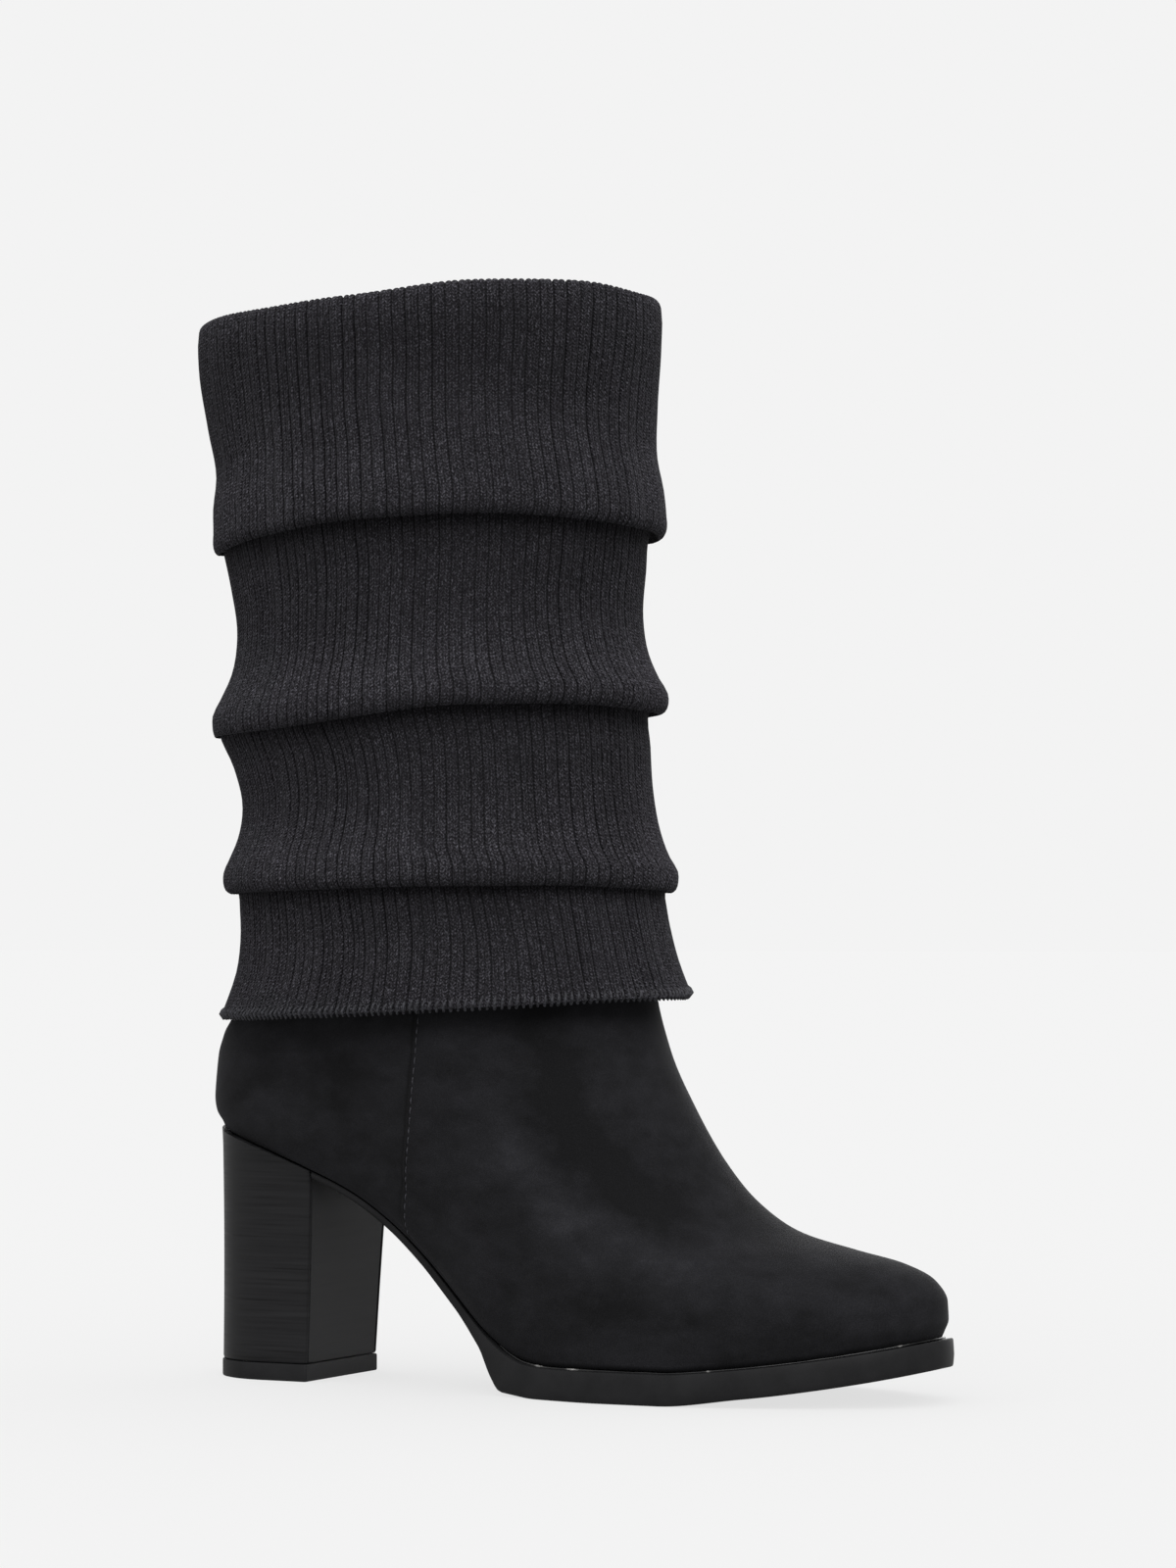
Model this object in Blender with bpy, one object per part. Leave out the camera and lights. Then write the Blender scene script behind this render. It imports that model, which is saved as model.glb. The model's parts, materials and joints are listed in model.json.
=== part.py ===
"""Sock boot for the right foot: a suede foot, a slouched rib-knit shaft and a block heel.

Lengths are in metres. The floor is z = 0, the toe points along +X and +Y is the inner side
of the foot. The origin is the middle of the heel tip's floor face.

Stations run along the foot from 0 at the back of the counter to 1 at the toe. Tables hold
shares of the named sizes. A loop round the boot starts at its back and runs along the outer
side to the front, then returns along the inner side.
"""

import math
from collections import namedtuple

import bmesh
import bpy
import numpy as np

# Foot sizes
FOOT_LENGTH = 0.2395       # counter to toe, along the floor
SEAT_WIDTH = 0.052         # across the upper's lower edge at the heel
WAIST_WIDTH = 0.046        # across the upper's lower edge at the arch
BALL_WIDTH = 0.077         # across the upper's lower edge at the ball joints
TOE_WIDTH = 0.054          # sets how full the toe is
BODY_WIDTH = 0.079         # across the upper's side walls at the ball
TOE_SWING = 0.005          # how far the toe leans to the inner side
SWING_START = 0.45         # station where it starts to lean
HEEL_HEIGHT = 0.078        # floor to the seat, at its back
TOE_SPRING = 0.0095        # how far the toe lifts
COLLAR_HEIGHT = 0.158      # floor to the suede's top edge, under the knit
COLLAR_WIDTH = 0.080       # across the suede's top edge
UPPER_WALL = 0.002
LASTING_MARGIN = 0.008     # how far the suede turns in under the foot
FEATHER_ROUND = 0.003      # rounding between side wall and lasting margin

# Sole and insole sizes
SOLE_THICKNESS = 0.0092    # at the ball
SOLE_LEDGE = 0.0026        # how far the sole's edge stands out past the suede's lower edge
SOLE_ROUND = 0.0008        # rounding of its lower edge
INSOLE_THICKNESS = 0.003

# Heel sizes
HEEL_INSET = 0.0028        # the heel block's back, inside the seat's
TIP_DEPTH = 0.0383         # heel tip, back to front
TIP_WIDTH = 0.0442
HEEL_TOP_WIDTH = 0.0496    # across the block at the seat
TIP_THICKNESS = 0.0053
TIP_RIM = 0.0004           # how far the tip stands out past the block
HEEL_WAIST = 0.0003        # how far the block's sides are hollowed
HEEL_ROUND = 1.05          # length of its rounded back, as a share of its half width
HEEL_BLUNT = 2.3           # 2 is a true ellipse, more is squarer
BREAST_LEAN = 0.0030       # how far the breast's top is ahead of its foot

# Shaft sizes
BOOT_HEIGHT = 0.330        # floor to the shaft's rim
HEM_HEIGHT = 0.115         # floor to the knit's free hem
SHAFT_WIDTH = 0.092        # across at its narrowest
KNIT_WALL = 0.0032         # doubled rib knit
SKIRT_WALL = 0.0016        # single knit, over the suede
FOLD_REACH = 0.006         # how far a slouch fold stands out
FOLD_ROLL = 0.0062         # height of a fold's rolled lip
FOLD_TUCK = 0.0026         # how far the knit tucks up behind a lip

SKIRT_EASE = 0.0012        # between skirt and suede at the collar
FIT_GAP = 0.0003           # between pieces that touch

# Mesh fineness
LOOP_POINTS = 64
UPPER_RINGS = 17
HEEL_POINTS = 24
HEEL_RINGS = 7
SHAFT_POINTS = 40
LINING_RINGS = 7

# The upper's lower edge and side walls seen from above. Outer and inner are half widths as
# shares of the named width, and full is the side wall's as a share of BODY_WIDTH.
Plan = namedtuple("Plan", "station width outer inner full")
PLAN = (
    Plan(0.00, SEAT_WIDTH, 0.47, 0.47, 0.34),
    Plan(0.12, SEAT_WIDTH, 0.49, 0.49, 0.37),
    Plan(0.25, SEAT_WIDTH, 0.48, 0.45, 0.40),
    Plan(0.38, WAIST_WIDTH, 0.55, 0.42, 0.43),
    Plan(0.46, WAIST_WIDTH, 0.64, 0.45, 0.455),
    Plan(0.54, BALL_WIDTH, 0.455, 0.345, 0.48),
    Plan(0.62, BALL_WIDTH, 0.50, 0.43, 0.50),
    Plan(0.70, BALL_WIDTH, 0.495, 0.485, 0.50),
    Plan(0.78, BALL_WIDTH, 0.455, 0.480, 0.475),
    Plan(0.86, TOE_WIDTH, 0.57, 0.63, 0.425),
    Plan(0.93, TOE_WIDTH, 0.50, 0.555, 0.375),
    Plan(1.00, TOE_WIDTH, 0.46, 0.50, 0.34),
)

# The foot's underside from the side. Lift is a share of the heel's height over the tread,
# spring a share of TOE_SPRING, thick a share of SOLE_THICKNESS and ledge one of SOLE_LEDGE.
Tread = namedtuple("Tread", "station lift spring thick ledge")
TREAD = (
    Tread(0.00, 1.000, 0.00, 0.26, -0.70),
    Tread(0.09, 0.915, 0.00, 0.26, -0.70),
    Tread(0.18, 0.805, 0.00, 0.26, -0.70),
    Tread(0.25, 0.700, 0.00, 0.26, -0.60),
    Tread(0.30, 0.590, 0.00, 0.26, -0.50),
    Tread(0.35, 0.445, 0.00, 0.27, -0.30),
    Tread(0.40, 0.270, 0.00, 0.31, -0.10),
    Tread(0.437, 0.1497, 0.00, 0.50, 0.20),
    Tread(0.459, 0.0934, 0.00, 0.98, 0.55),
    Tread(0.479, 0.0528, 0.00, 1.28, 0.85),
    Tread(0.508, 0.0155, 0.00, 1.12, 1.00),
    Tread(0.548, 0.000, 0.00, 1.00, 1.00),
    Tread(0.62, 0.000, 0.00, 1.00, 1.00),
    Tread(0.70, 0.000, 0.00, 1.00, 1.00),
    Tread(0.80, 0.000, 0.20, 0.93, 1.00),
    Tread(0.89, 0.000, 0.50, 0.92, 1.00),
    Tread(0.96, 0.000, 0.80, 0.91, 1.00),
    Tread(1.00, 0.000, 1.00, 0.90, 1.00),
)

# The suede upper, a row for each line round it, from the lasting margin to the collar.
# Rise and top are the heights of its back and front as shares of the way to the collar,
# back and front their stations, level how far the line has left the foot's bend, leg how far
# its width has become the leg's, body how far it has become the side wall's, and heel_blunt
# and toe_blunt how square its ends are.
Line = namedtuple("Line", "rise back front top level leg body heel_blunt toe_blunt")
UPPER = (
    Line(0.020, 0.0095, 0.990, 0.012, 0.00, 0.00, 0.25, 9.0, 6.6),
    Line(0.060, 0.0015, 0.996, 0.040, 0.01, 0.00, 0.60, 9.0, 6.4),
    Line(0.120, -0.0015, 0.995, 0.078, 0.03, 0.02, 0.90, 8.0, 6.0),
    Line(0.200, -0.0010, 0.979, 0.120, 0.08, 0.05, 1.00, 6.6, 5.2),
    Line(0.275, 0.0000, 0.940, 0.152, 0.15, 0.10, 1.00, 5.2, 4.3),
    Line(0.345, 0.0060, 0.877, 0.177, 0.22, 0.17, 1.00, 4.2, 3.5),
    Line(0.410, 0.0195, 0.804, 0.210, 0.30, 0.26, 1.00, 3.4, 3.0),
    Line(0.480, 0.0330, 0.748, 0.270, 0.40, 0.38, 1.00, 2.8, 2.6),
    Line(0.550, 0.0460, 0.706, 0.350, 0.50, 0.52, 1.00, 2.4, 2.3),
    Line(0.650, 0.0570, 0.662, 0.470, 0.65, 0.72, 1.00, 2.2, 2.15),
    Line(0.760, 0.0600, 0.628, 0.592, 0.80, 0.86, 1.00, 2.1, 2.05),
    Line(0.880, 0.0600, 0.606, 0.750, 0.92, 0.95, 1.00, 2.05, 2.0),
    Line(1.000, 0.0600, 0.598, 1.000, 1.00, 1.00, 1.00, 2.0, 2.0),
)

# The leg under the folds. Height is a share of the way from hem to rim, back and front are
# stations, and wide is the half width as a share of SHAFT_WIDTH.
Leg = namedtuple("Leg", "height back front wide")
LEG = (
    Leg(0.00, 0.039, 0.622, 0.490),
    Leg(0.08, 0.050, 0.622, 0.490),
    Leg(0.28, 0.045, 0.604, 0.502),
    Leg(0.53, 0.038, 0.587, 0.507),
    Leg(0.77, 0.0155, 0.598, 0.535),
    Leg(0.93, -0.021, 0.612, 0.560),
    Leg(1.00, -0.021, 0.612, 0.562),
)

# The slouch folds from the top one to the hem. Lip is the height of its lowest line, as a
# share of the way from hem to rim. Reach_ is how far it stands out, and top_ how far the knit
# under it does, as shares of FOLD_REACH.
Fold = namedtuple("Fold", "lip reach_back reach_front reach_side top_back top_front")
FOLDS = (
    Fold(0.675, 0.95, 1.05, 0.85, 0.50, 0.20),
    Fold(0.413, 1.60, 1.15, 0.85, 1.35, 0.20),
    Fold(0.163, 1.25, 0.75, 0.80, 0.50, 0.10),
)
RIM = Fold(1.000, 0.00, 0.00, 0.00, 0.00, 0.00)
HEM = Fold(0.000, 1.10, 1.35, 0.50, 0.00, 0.00)

# How far each line hangs below its height, as shares of FOLD_ROLL, at angles in degrees round
# the shaft: 0 is the back, 90 the outer side and 180 the front.
Drop = namedtuple("Drop", "angle hem third second first rim")
DROPS = (
    Drop(0, 0.65, 0.25, 1.12, 1.05, 0.87),
    Drop(30, 0.70, 0.27, 1.17, 1.20, 0.95),
    Drop(60, 0.56, 0.25, 1.07, 0.72, 0.88),
    Drop(90, 0.38, 0.13, 0.59, 0.26, 0.65),
    Drop(120, 0.04, 0.04, 0.08, 0.10, 0.17),
    Drop(150, -0.29, 0.06, 0.10, 0.29, 0.12),
    Drop(180, -0.38, 0.18, 0.30, 0.64, 0.42),
    Drop(210, -0.55, 0.30, 0.28, 0.78, 0.47),
    Drop(240, -0.20, 0.25, 0.35, 0.50, 0.22),
    Drop(270, 0.20, 0.15, 0.25, 0.25, 0.00),
    Drop(300, 0.45, 0.15, 0.45, 0.40, 0.10),
    Drop(330, 0.60, 0.20, 0.90, 0.85, 0.50),
)

# A tier of the shaft, from under one lip to the next. Drop is the share of the way down,
# above the share of the push left by the fold above it, and out the share of its own reach.
Stop = namedtuple("Stop", "drop above out")
TIER = (
    Stop(0.18, 0.36, 0.00),
    Stop(0.45, 0.00, 0.00),
    Stop(0.66, 0.00, 0.26),
    Stop(0.80, 0.00, 0.70),
)
SKIRT = (
    Stop(0.15, 0.72, 0.03),
    Stop(0.40, 0.36, 0.19),
    Stop(0.65, 0.12, 0.46),
    Stop(0.85, 0.02, 0.75),
    Stop(1.00, 0.00, 1.00),
)
# The rolled lip: rise is a share of FOLD_ROLL over its lowest line, out one of its reach.
Roll = namedtuple("Roll", "rise out")
LIP = (
    Roll(1.05, 0.97),
    Roll(0.55, 1.00),
    Roll(0.16, 0.82),
    Roll(0.00, 0.48),
)
# The rounded rim: both are shares of KNIT_WALL, rise from its top and out from its inside.
RIM_ROLL = (
    Roll(-0.35, 0.12),
    Roll(0.00, 0.50),
    Roll(-0.35, 0.88),
    Roll(-1.00, 1.00),
)


def smooth(table, share, column):
    """A table's column at a share of its first column, along a smooth curve through the rows."""
    xs = np.array([row[0] for row in table])
    ys = np.array([getattr(row, column) for row in table])
    return hermite(xs, ys, share)


def hermite(xs, ys, x):
    """Cubic through the points that never overshoots a flat or a peak."""
    step = np.diff(xs)
    slope = np.diff(ys) / step
    tangent = np.zeros(len(xs))
    tangent[0], tangent[-1] = slope[0], slope[-1]
    same = slope[:-1] * slope[1:] > 0
    weight = step[:-1] + step[1:]
    mean = slope[:-1] * slope[1:] * weight
    mean = mean / np.where(same, slope[:-1] * step[:-1] + slope[1:] * step[1:], 1.0)
    tangent[1:-1] = np.where(same, mean, 0.0)
    at = np.clip(np.searchsorted(xs, x, side="right") - 1, 0, len(step) - 1)
    t = np.clip((x - xs[at]) / step[at], 0.0, 1.0)
    start = ys[at] * (1 + 2 * t) * (1 - t) ** 2 + step[at] * tangent[at] * t * (1 - t) ** 2
    end = ys[at + 1] * t * t * (3 - 2 * t) - step[at] * tangent[at + 1] * t * t * (1 - t)
    return start + end


def station_x(station):
    """A station's place along X; the heel tip's middle is at X = 0."""
    return station * FOOT_LENGTH - HEEL_INSET - TIP_DEPTH / 2


def x_station(x):
    """The station of a place along X."""
    return (x + HEEL_INSET + TIP_DEPTH / 2) / FOOT_LENGTH


def swing(station):
    """How far the foot's middle line has swung to the inner side."""
    return TOE_SWING * np.clip((station - SWING_START) / (1 - SWING_START), 0.0, 1.2) ** 2


def feather_z(station):
    """Height of the suede's flat underside."""
    station = np.clip(station, 0.0, 1.0)
    lift = smooth(TREAD, station, "lift") * (HEEL_HEIGHT - SOLE_THICKNESS)
    return SOLE_THICKNESS + lift + smooth(TREAD, station, "spring") * TOE_SPRING


def steepness(station):
    """How much longer the underside is than its plan, where it slopes."""
    step = 0.004
    rise = (feather_z(station + step) - feather_z(station - step)) / (2 * step * FOOT_LENGTH)
    return np.sqrt(1 + rise**2)


def plan_half(station, outer, body):
    """Half width of the foot before its ends are rounded; body is the share of side wall."""
    station = np.clip(station, 0.0, 1.0)
    widths = np.array([row.width * (row.outer if outer else row.inner) for row in PLAN])
    edge = hermite(np.array([row.station for row in PLAN]), widths, station)
    wall = smooth(PLAN, station, "full") * BODY_WIDTH
    return edge * (1 - body) + np.maximum(edge, wall) * body


def round_end(t, heel_blunt, toe_blunt):
    """Share of the full width at t, from 0 at the back to 1 at the front of a line."""
    blunt = np.where(t < 0.5, heel_blunt, toe_blunt)
    return np.sqrt(np.clip(1 - np.abs(2 * t - 1) ** blunt, 0.0, 1.0))


def loop_shares(count):
    """Share of the way from back to front, and whether it's the outer side, round a loop."""
    around = np.arange(count) / (count // 2)
    shares = (1 - np.cos(math.pi * around)) / 2
    return shares, around <= 1


def side_sign(outer):
    """The outer side is towards -Y."""
    return np.where(outer, -1.0, 1.0)


def edge_plan(share, outer):
    """The suede's lower edge seen from above, at shares of the way from back to front."""
    first = UPPER[0]
    station = first.back + share * (first.front - first.back)
    half = np.where(outer, plan_half(station, True, first.body), plan_half(station, False, first.body))
    half = half * round_end(share, first.heel_blunt, first.toe_blunt)
    return np.stack([station_x(station), swing(station) + side_sign(outer) * half], axis=1)


def offset(plan, amount, closed):
    """A line seen from above, moved outwards by an amount at each point."""
    ahead = np.roll(plan, -1, axis=0)
    behind = np.roll(plan, 1, axis=0)
    if not closed:
        ahead[-1], behind[0] = plan[-1], plan[0]
    run = ahead - behind
    normal = np.stack([run[:, 1], -run[:, 0]], axis=1)
    normal /= np.linalg.norm(normal, axis=1)[:, None]
    return plan + normal * np.reshape(amount, (-1, 1))


def edge_loop(grow, raise_by):
    """The suede's lower edge moved outwards and up, square to the foot's slope."""
    share, outer = loop_shares(LOOP_POINTS)
    plan = offset(edge_plan(share, outer), np.full(LOOP_POINTS, grow), closed=True)
    station = x_station(plan[:, 0])
    z = feather_z(station) + raise_by * steepness(station)
    return np.column_stack([plan, z])


def upper_loop(place):
    """The suede's outside round the foot at a share of the way from its edge to the collar."""
    rows = np.linspace(0.0, 1.0, len(UPPER))
    line = Line(*[float(hermite(rows, np.array(column), place)) for column in zip(*UPPER)])
    share, outer = loop_shares(LOOP_POINTS)
    station = line.back + share * (line.front - line.back)
    foot = np.where(outer, plan_half(station, True, line.body), plan_half(station, False, line.body))
    half = foot * (1 - line.leg) + COLLAR_WIDTH / 2 * line.leg
    half = half * round_end(share, line.heel_blunt, line.toe_blunt)
    y = swing(station) + side_sign(outer) * half
    toe_z = feather_z(1.0)
    back_z = HEEL_HEIGHT + line.rise * (COLLAR_HEIGHT - HEEL_HEIGHT)
    front_z = toe_z + line.top * (COLLAR_HEIGHT - toe_z)
    bend = feather_z(share) - (HEEL_HEIGHT * (1 - share) + toe_z * share)
    z = back_z * (1 - share) + front_z * share + bend * (1 - line.level)
    return np.stack([station_x(station), y, z], axis=1)


def new_object(name, bm, finish):
    """A closed mesh as an object with its material, smooth between its sharp edges."""
    bmesh.ops.recalc_face_normals(bm, faces=bm.faces)
    mesh = bpy.data.meshes.new(name)
    bm.to_mesh(mesh)
    bm.free()
    mesh.shade_smooth()
    mesh.set_sharp_from_angle(angle=math.radians(35))
    mesh.materials.append(finish)
    thing = bpy.data.objects.new(name, mesh)
    bpy.context.scene.collection.objects.link(thing)
    return thing


def material(name, colour, roughness):
    """A plain finish."""
    made = bpy.data.materials.new(name)
    made.use_nodes = True
    shader = made.node_tree.nodes["Principled BSDF"]
    shader.inputs["Base Color"].default_value = (*colour, 1.0)
    shader.inputs["Roughness"].default_value = roughness
    shader.inputs["Metallic"].default_value = 0.0
    return made


def loft(rings, closed):
    """Quads between rings of equal length. A closed loft joins the last ring to the first."""
    bm = bmesh.new()
    made = [[bm.verts.new(point) for point in ring] for ring in rings]
    pairs = list(zip(made, made[1:]))
    if closed:
        pairs.append((made[-1], made[0]))
    for low, high in pairs:
        for i in range(len(low)):
            j = (i + 1) % len(low)
            bm.faces.new((low[i], low[j], high[j], high[i]))
    return bm, made


def cap(bm, ring):
    """Closes a loop whose points pair up across the foot, with strips from side to side."""
    count = len(ring)
    half = count // 2
    bm.faces.new((ring[0], ring[1], ring[count - 1]))
    for i in range(1, half - 1):
        bm.faces.new((ring[i], ring[i + 1], ring[count - i - 1], ring[count - i]))
    bm.faces.new((ring[half - 1], ring[half], ring[half + 1]))


def make_upper(finish):
    """The suede foot: one wall from the lasting margin under the foot to the collar."""
    rings = [
        edge_loop(-LASTING_MARGIN, 0.0),
        edge_loop(-FEATHER_ROUND, 0.0),
        edge_loop(-FEATHER_ROUND * 0.25, FEATHER_ROUND * 0.2),
    ]
    rings += [upper_loop(place) for place in np.linspace(0.0, 1.0, UPPER_RINGS)]
    bm, _ = loft(rings, closed=False)
    upper = new_object("upper", bm, finish)
    wall = upper.modifiers.new("wall", "SOLIDIFY")
    wall.thickness = UPPER_WALL
    wall.offset = -1
    wall.use_even_offset = True
    return upper


def make_insole(finish):
    """The footbed, on the lasting margin and inside the wall."""
    clear = -(UPPER_WALL + FIT_GAP + FEATHER_ROUND)
    low = edge_loop(clear, UPPER_WALL + FIT_GAP * 2)
    high = edge_loop(clear, UPPER_WALL + FIT_GAP * 2 + INSOLE_THICKNESS)
    bm, made = loft([low, high], closed=False)
    cap(bm, made[0])
    cap(bm, made[-1])
    return new_object("insole", bm, finish)


def breast_x(share):
    """Place of the heel's flat front at a share of its height."""
    return TIP_DEPTH / 2 + BREAST_LEAN * share


def sole_line():
    """The sole's edge from the heel's breast round the toe and back."""
    first = UPPER[0]
    share, outer = loop_shares(LOOP_POINTS)
    rear = (x_station(breast_x(1.0) + FIT_GAP) - first.back) / (first.front - first.back)
    side = share[outer & (share > rear + 0.01)]
    share = np.concatenate([[rear], side, side[-2::-1], [rear]])
    outer = np.arange(len(share)) <= len(side)
    plan = edge_plan(share, outer)
    ledge = smooth(TREAD, x_station(plan[:, 0]), "ledge") * SOLE_LEDGE
    return offset(plan, ledge, closed=False)


def make_outsole(finish):
    """The sole from the heel's breast to the toe: thin under the arch, thick under the ball."""
    line = sole_line()
    line[0, 0] = line[-1, 0] = breast_x(1.0) + FIT_GAP
    station = x_station(line[:, 0])
    top = feather_z(station) - FIT_GAP * steepness(station)
    thick = smooth(TREAD, np.clip(station, 0, 1), "thick") * SOLE_THICKNESS * steepness(station)
    low = np.maximum(feather_z(station) - thick, 0.0)
    trimmed = offset(line, np.full(len(line), -SOLE_ROUND), closed=False)
    trimmed[0, 0] = trimmed[-1, 0] = line[0, 0]
    levels = [
        np.column_stack([line, top]),
        np.column_stack([line, low + SOLE_ROUND]),
        np.column_stack([trimmed, low]),
    ]
    bm = bmesh.new()
    made = [[bm.verts.new(point) for point in level] for level in levels]
    count = len(line)
    for high, under in zip(made, made[1:]):
        for i in range(count - 1):
            bm.faces.new((high[i], high[i + 1], under[i + 1], under[i]))
    for level in (made[0], made[-1]):
        for i in range(count // 2 - 1):
            bm.faces.new((level[i], level[i + 1], level[count - i - 2], level[count - i - 1]))
        bm.faces.new((level[count // 2 - 1], level[count // 2], level[count // 2 + 1]))
    bm.faces.new([level[0] for level in made] + [level[-1] for level in reversed(made)])
    return new_object("outsole", bm, finish)


def heel_loop(height, grow):
    """The heel across at a share of its height: flat at the breast, round at the back."""
    hollow = HEEL_WAIST * math.sin(math.pi * height)
    back = hollow - TIP_DEPTH / 2 - grow
    half = (TIP_WIDTH * (1 - height) + HEEL_TOP_WIDTH * height) / 2 - hollow + grow
    share, outer = loop_shares(HEEL_POINTS)
    x = back + share * (breast_x(height) + grow - back)
    bend = np.clip(1 - (x - back) / (half * HEEL_ROUND), 0.0, 1.0)
    y = side_sign(outer) * half * np.sqrt(1 - bend**HEEL_BLUNT)
    return x, y


def make_heel(finish):
    """The block heel under the seat."""
    rings = []
    for share in np.linspace(0.0, 1.0, HEEL_RINGS):
        x, y = heel_loop(share, 0.0)
        top = feather_z(x_station(x)) - FIT_GAP
        low = TIP_THICKNESS + FIT_GAP
        rings.append(np.stack([x, y, low + (top - low) * share], axis=1))
    return make_block("heel", rings, finish)


def make_heel_tip(finish):
    """The tip that the heel stands on."""
    x, y = heel_loop(0.0, TIP_RIM)
    rings = [np.stack([x, y, np.full(len(x), z)], axis=1) for z in (0.0, TIP_THICKNESS)]
    return make_block("heel_tip", rings, finish)


def make_block(name, rings, finish):
    """Solid between rings that have a flat front: the points beside its middle are its corners."""
    half = len(rings[0]) // 2
    for ring in rings:
        ring[half - 1, 0] = ring[half + 1, 0] = ring[half, 0]
    rings = [np.delete(ring, half, axis=0) for ring in rings]
    bm, made = loft(rings, closed=False)
    for ring in (made[0], made[-1]):
        count = len(ring)
        bm.faces.new((ring[0], ring[1], ring[count - 1]))
        for i in range(1, count // 2):
            bm.faces.new((ring[i], ring[i + 1], ring[count - i - 1], ring[count - i]))
    return new_object(name, bm, finish)


def leg_ring(height, out_back, out_front, out_side, angle):
    """Plan of the leg at a share of the way from hem to rim, pushed out by three amounts.

    Angle 0 is the back, and it turns by the outer side to the front.
    """
    back = station_x(smooth(LEG, np.array(height), "back")) - out_back
    front = station_x(smooth(LEG, np.array(height), "front")) + out_front
    half = smooth(LEG, np.array(height), "wide") * SHAFT_WIDTH + out_side
    middle, reach = (back + front) / 2, (front - back) / 2
    return middle - reach * np.cos(angle), -half * np.sin(angle)


def lip_drop(height, angle):
    """How far the knit drops at a height, following the nearest folds."""
    table = np.array(DROPS, dtype=float)
    before, after = table[-1:].copy(), table[:2].copy()
    before[:, 0] -= 360
    after[:, 0] += 360
    table = np.concatenate([before, table, after])
    lines = [hermite(table[:, 0], column, np.degrees(angle)) for column in table[:, 1:].T]
    heights = np.array([row.lip for row in (HEM, *reversed(FOLDS), RIM)])
    return FOLD_ROLL * np.array([hermite(heights, np.array(drops), height) for drops in zip(*lines)])


def shaft_ring(height, out, angle, rise=0.0, inward=0.0):
    """A ring of the knit: out is the push at back, front and sides as shares of FOLD_REACH."""
    push = [FOLD_REACH * amount - inward for amount in out]
    x, y = leg_ring(height, push[0], push[1], push[2], angle)
    z = HEM_HEIGHT + height * (BOOT_HEIGHT - HEM_HEIGHT) + rise
    return np.stack([x, y, z - lip_drop(height, angle)], axis=1)


def reach(fold):
    """How far a fold stands out at back, front and sides."""
    return fold.reach_back, fold.reach_front, fold.reach_side


def under(fold):
    """How far the knit under a fold stands out at back, front and sides."""
    return fold.top_back, fold.top_front, 0.0


def blend(first, first_share, second, second_share):
    """Sum of shares of two pushes."""
    return [a * first_share + b * second_share for a, b in zip(first, second)]


def tier_rings(stops, above, fold, angle, inward=0.0):
    """A tier of the knit, from under the fold above it towards its own lip."""
    rings = []
    for stop in stops:
        height = above.lip + (fold.lip - above.lip) * stop.drop
        out = blend(under(above), stop.above, reach(fold), stop.out)
        rings.append(shaft_ring(height, out, angle, inward=inward))
    return rings


def lip_rings(fold, angle):
    """The rolled lip of a fold and the tuck behind it."""
    rings = []
    for roll in LIP:
        out = blend(under(fold), 1 - roll.out, reach(fold), roll.out)
        rings.append(shaft_ring(fold.lip, out, angle, rise=roll.rise * FOLD_ROLL))
    rings.append(shaft_ring(fold.lip, under(fold), angle, rise=FOLD_TUCK))
    return rings


def make_shaft(finish):
    """The knit: doubled wall above the suede, and a single skirt that hangs free over it."""
    angle = np.linspace(0.0, 2 * math.pi, SHAFT_POINTS, endpoint=False)
    level = (0.0, 0.0, 0.0)
    rings = [
        shaft_ring(1.0, level, angle, rise=roll.rise * KNIT_WALL, inward=(1 - roll.out) * KNIT_WALL)
        for roll in RIM_ROLL
    ]
    above = RIM
    for fold in FOLDS:
        rings += tier_rings(TIER, above, fold, angle) + lip_rings(fold, angle)
        above = fold
    rings += tier_rings(SKIRT, above, HEM, angle)
    rings += reversed(tier_rings(SKIRT, above, HEM, angle, inward=SKIRT_WALL))
    collar = (COLLAR_HEIGHT + FIT_GAP - HEM_HEIGHT) / (BOOT_HEIGHT - HEM_HEIGHT)
    rings.append(collar_ring(angle, SKIRT_EASE, COLLAR_HEIGHT + FIT_GAP))
    rings.append(collar_ring(angle, -UPPER_WALL, COLLAR_HEIGHT + FIT_GAP))
    for share in np.linspace(0.1, 0.95, LINING_RINGS):
        height = collar + (1 - collar) * share
        rings.append(shaft_ring(height, level, angle, inward=KNIT_WALL))
    bm, _ = loft(rings, closed=True)
    return new_object("shaft", bm, finish)


def collar_ring(angle, grow, z):
    """A level ring round the suede's top edge."""
    last = UPPER[-1]
    back, front = station_x(last.back) - grow, station_x(last.front) + grow
    x = (back + front) / 2 - (front - back) / 2 * np.cos(angle)
    half = COLLAR_WIDTH / 2 + grow
    y = float(swing(last.front)) - half * np.sin(angle)
    return np.stack([x, y, np.full(len(angle), z)], axis=1)


def main():
    """Builds the boot."""
    for thing in list(bpy.data.objects):
        bpy.data.objects.remove(thing)
    suede = material("suede", (0.012, 0.012, 0.013), 0.95)
    knit = material("rib_knit", (0.020, 0.020, 0.021), 0.95)
    rubber = material("sole_rubber", (0.014, 0.014, 0.014), 0.6)
    stacked = material("stacked_heel", (0.012, 0.012, 0.012), 0.4)
    lining = material("footbed", (0.030, 0.029, 0.028), 0.8)
    make_upper(suede)
    make_shaft(knit)
    make_outsole(rubber)
    make_heel(stacked)
    make_heel_tip(rubber)
    make_insole(lining)


if __name__ == "__main__":
    main()
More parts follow.
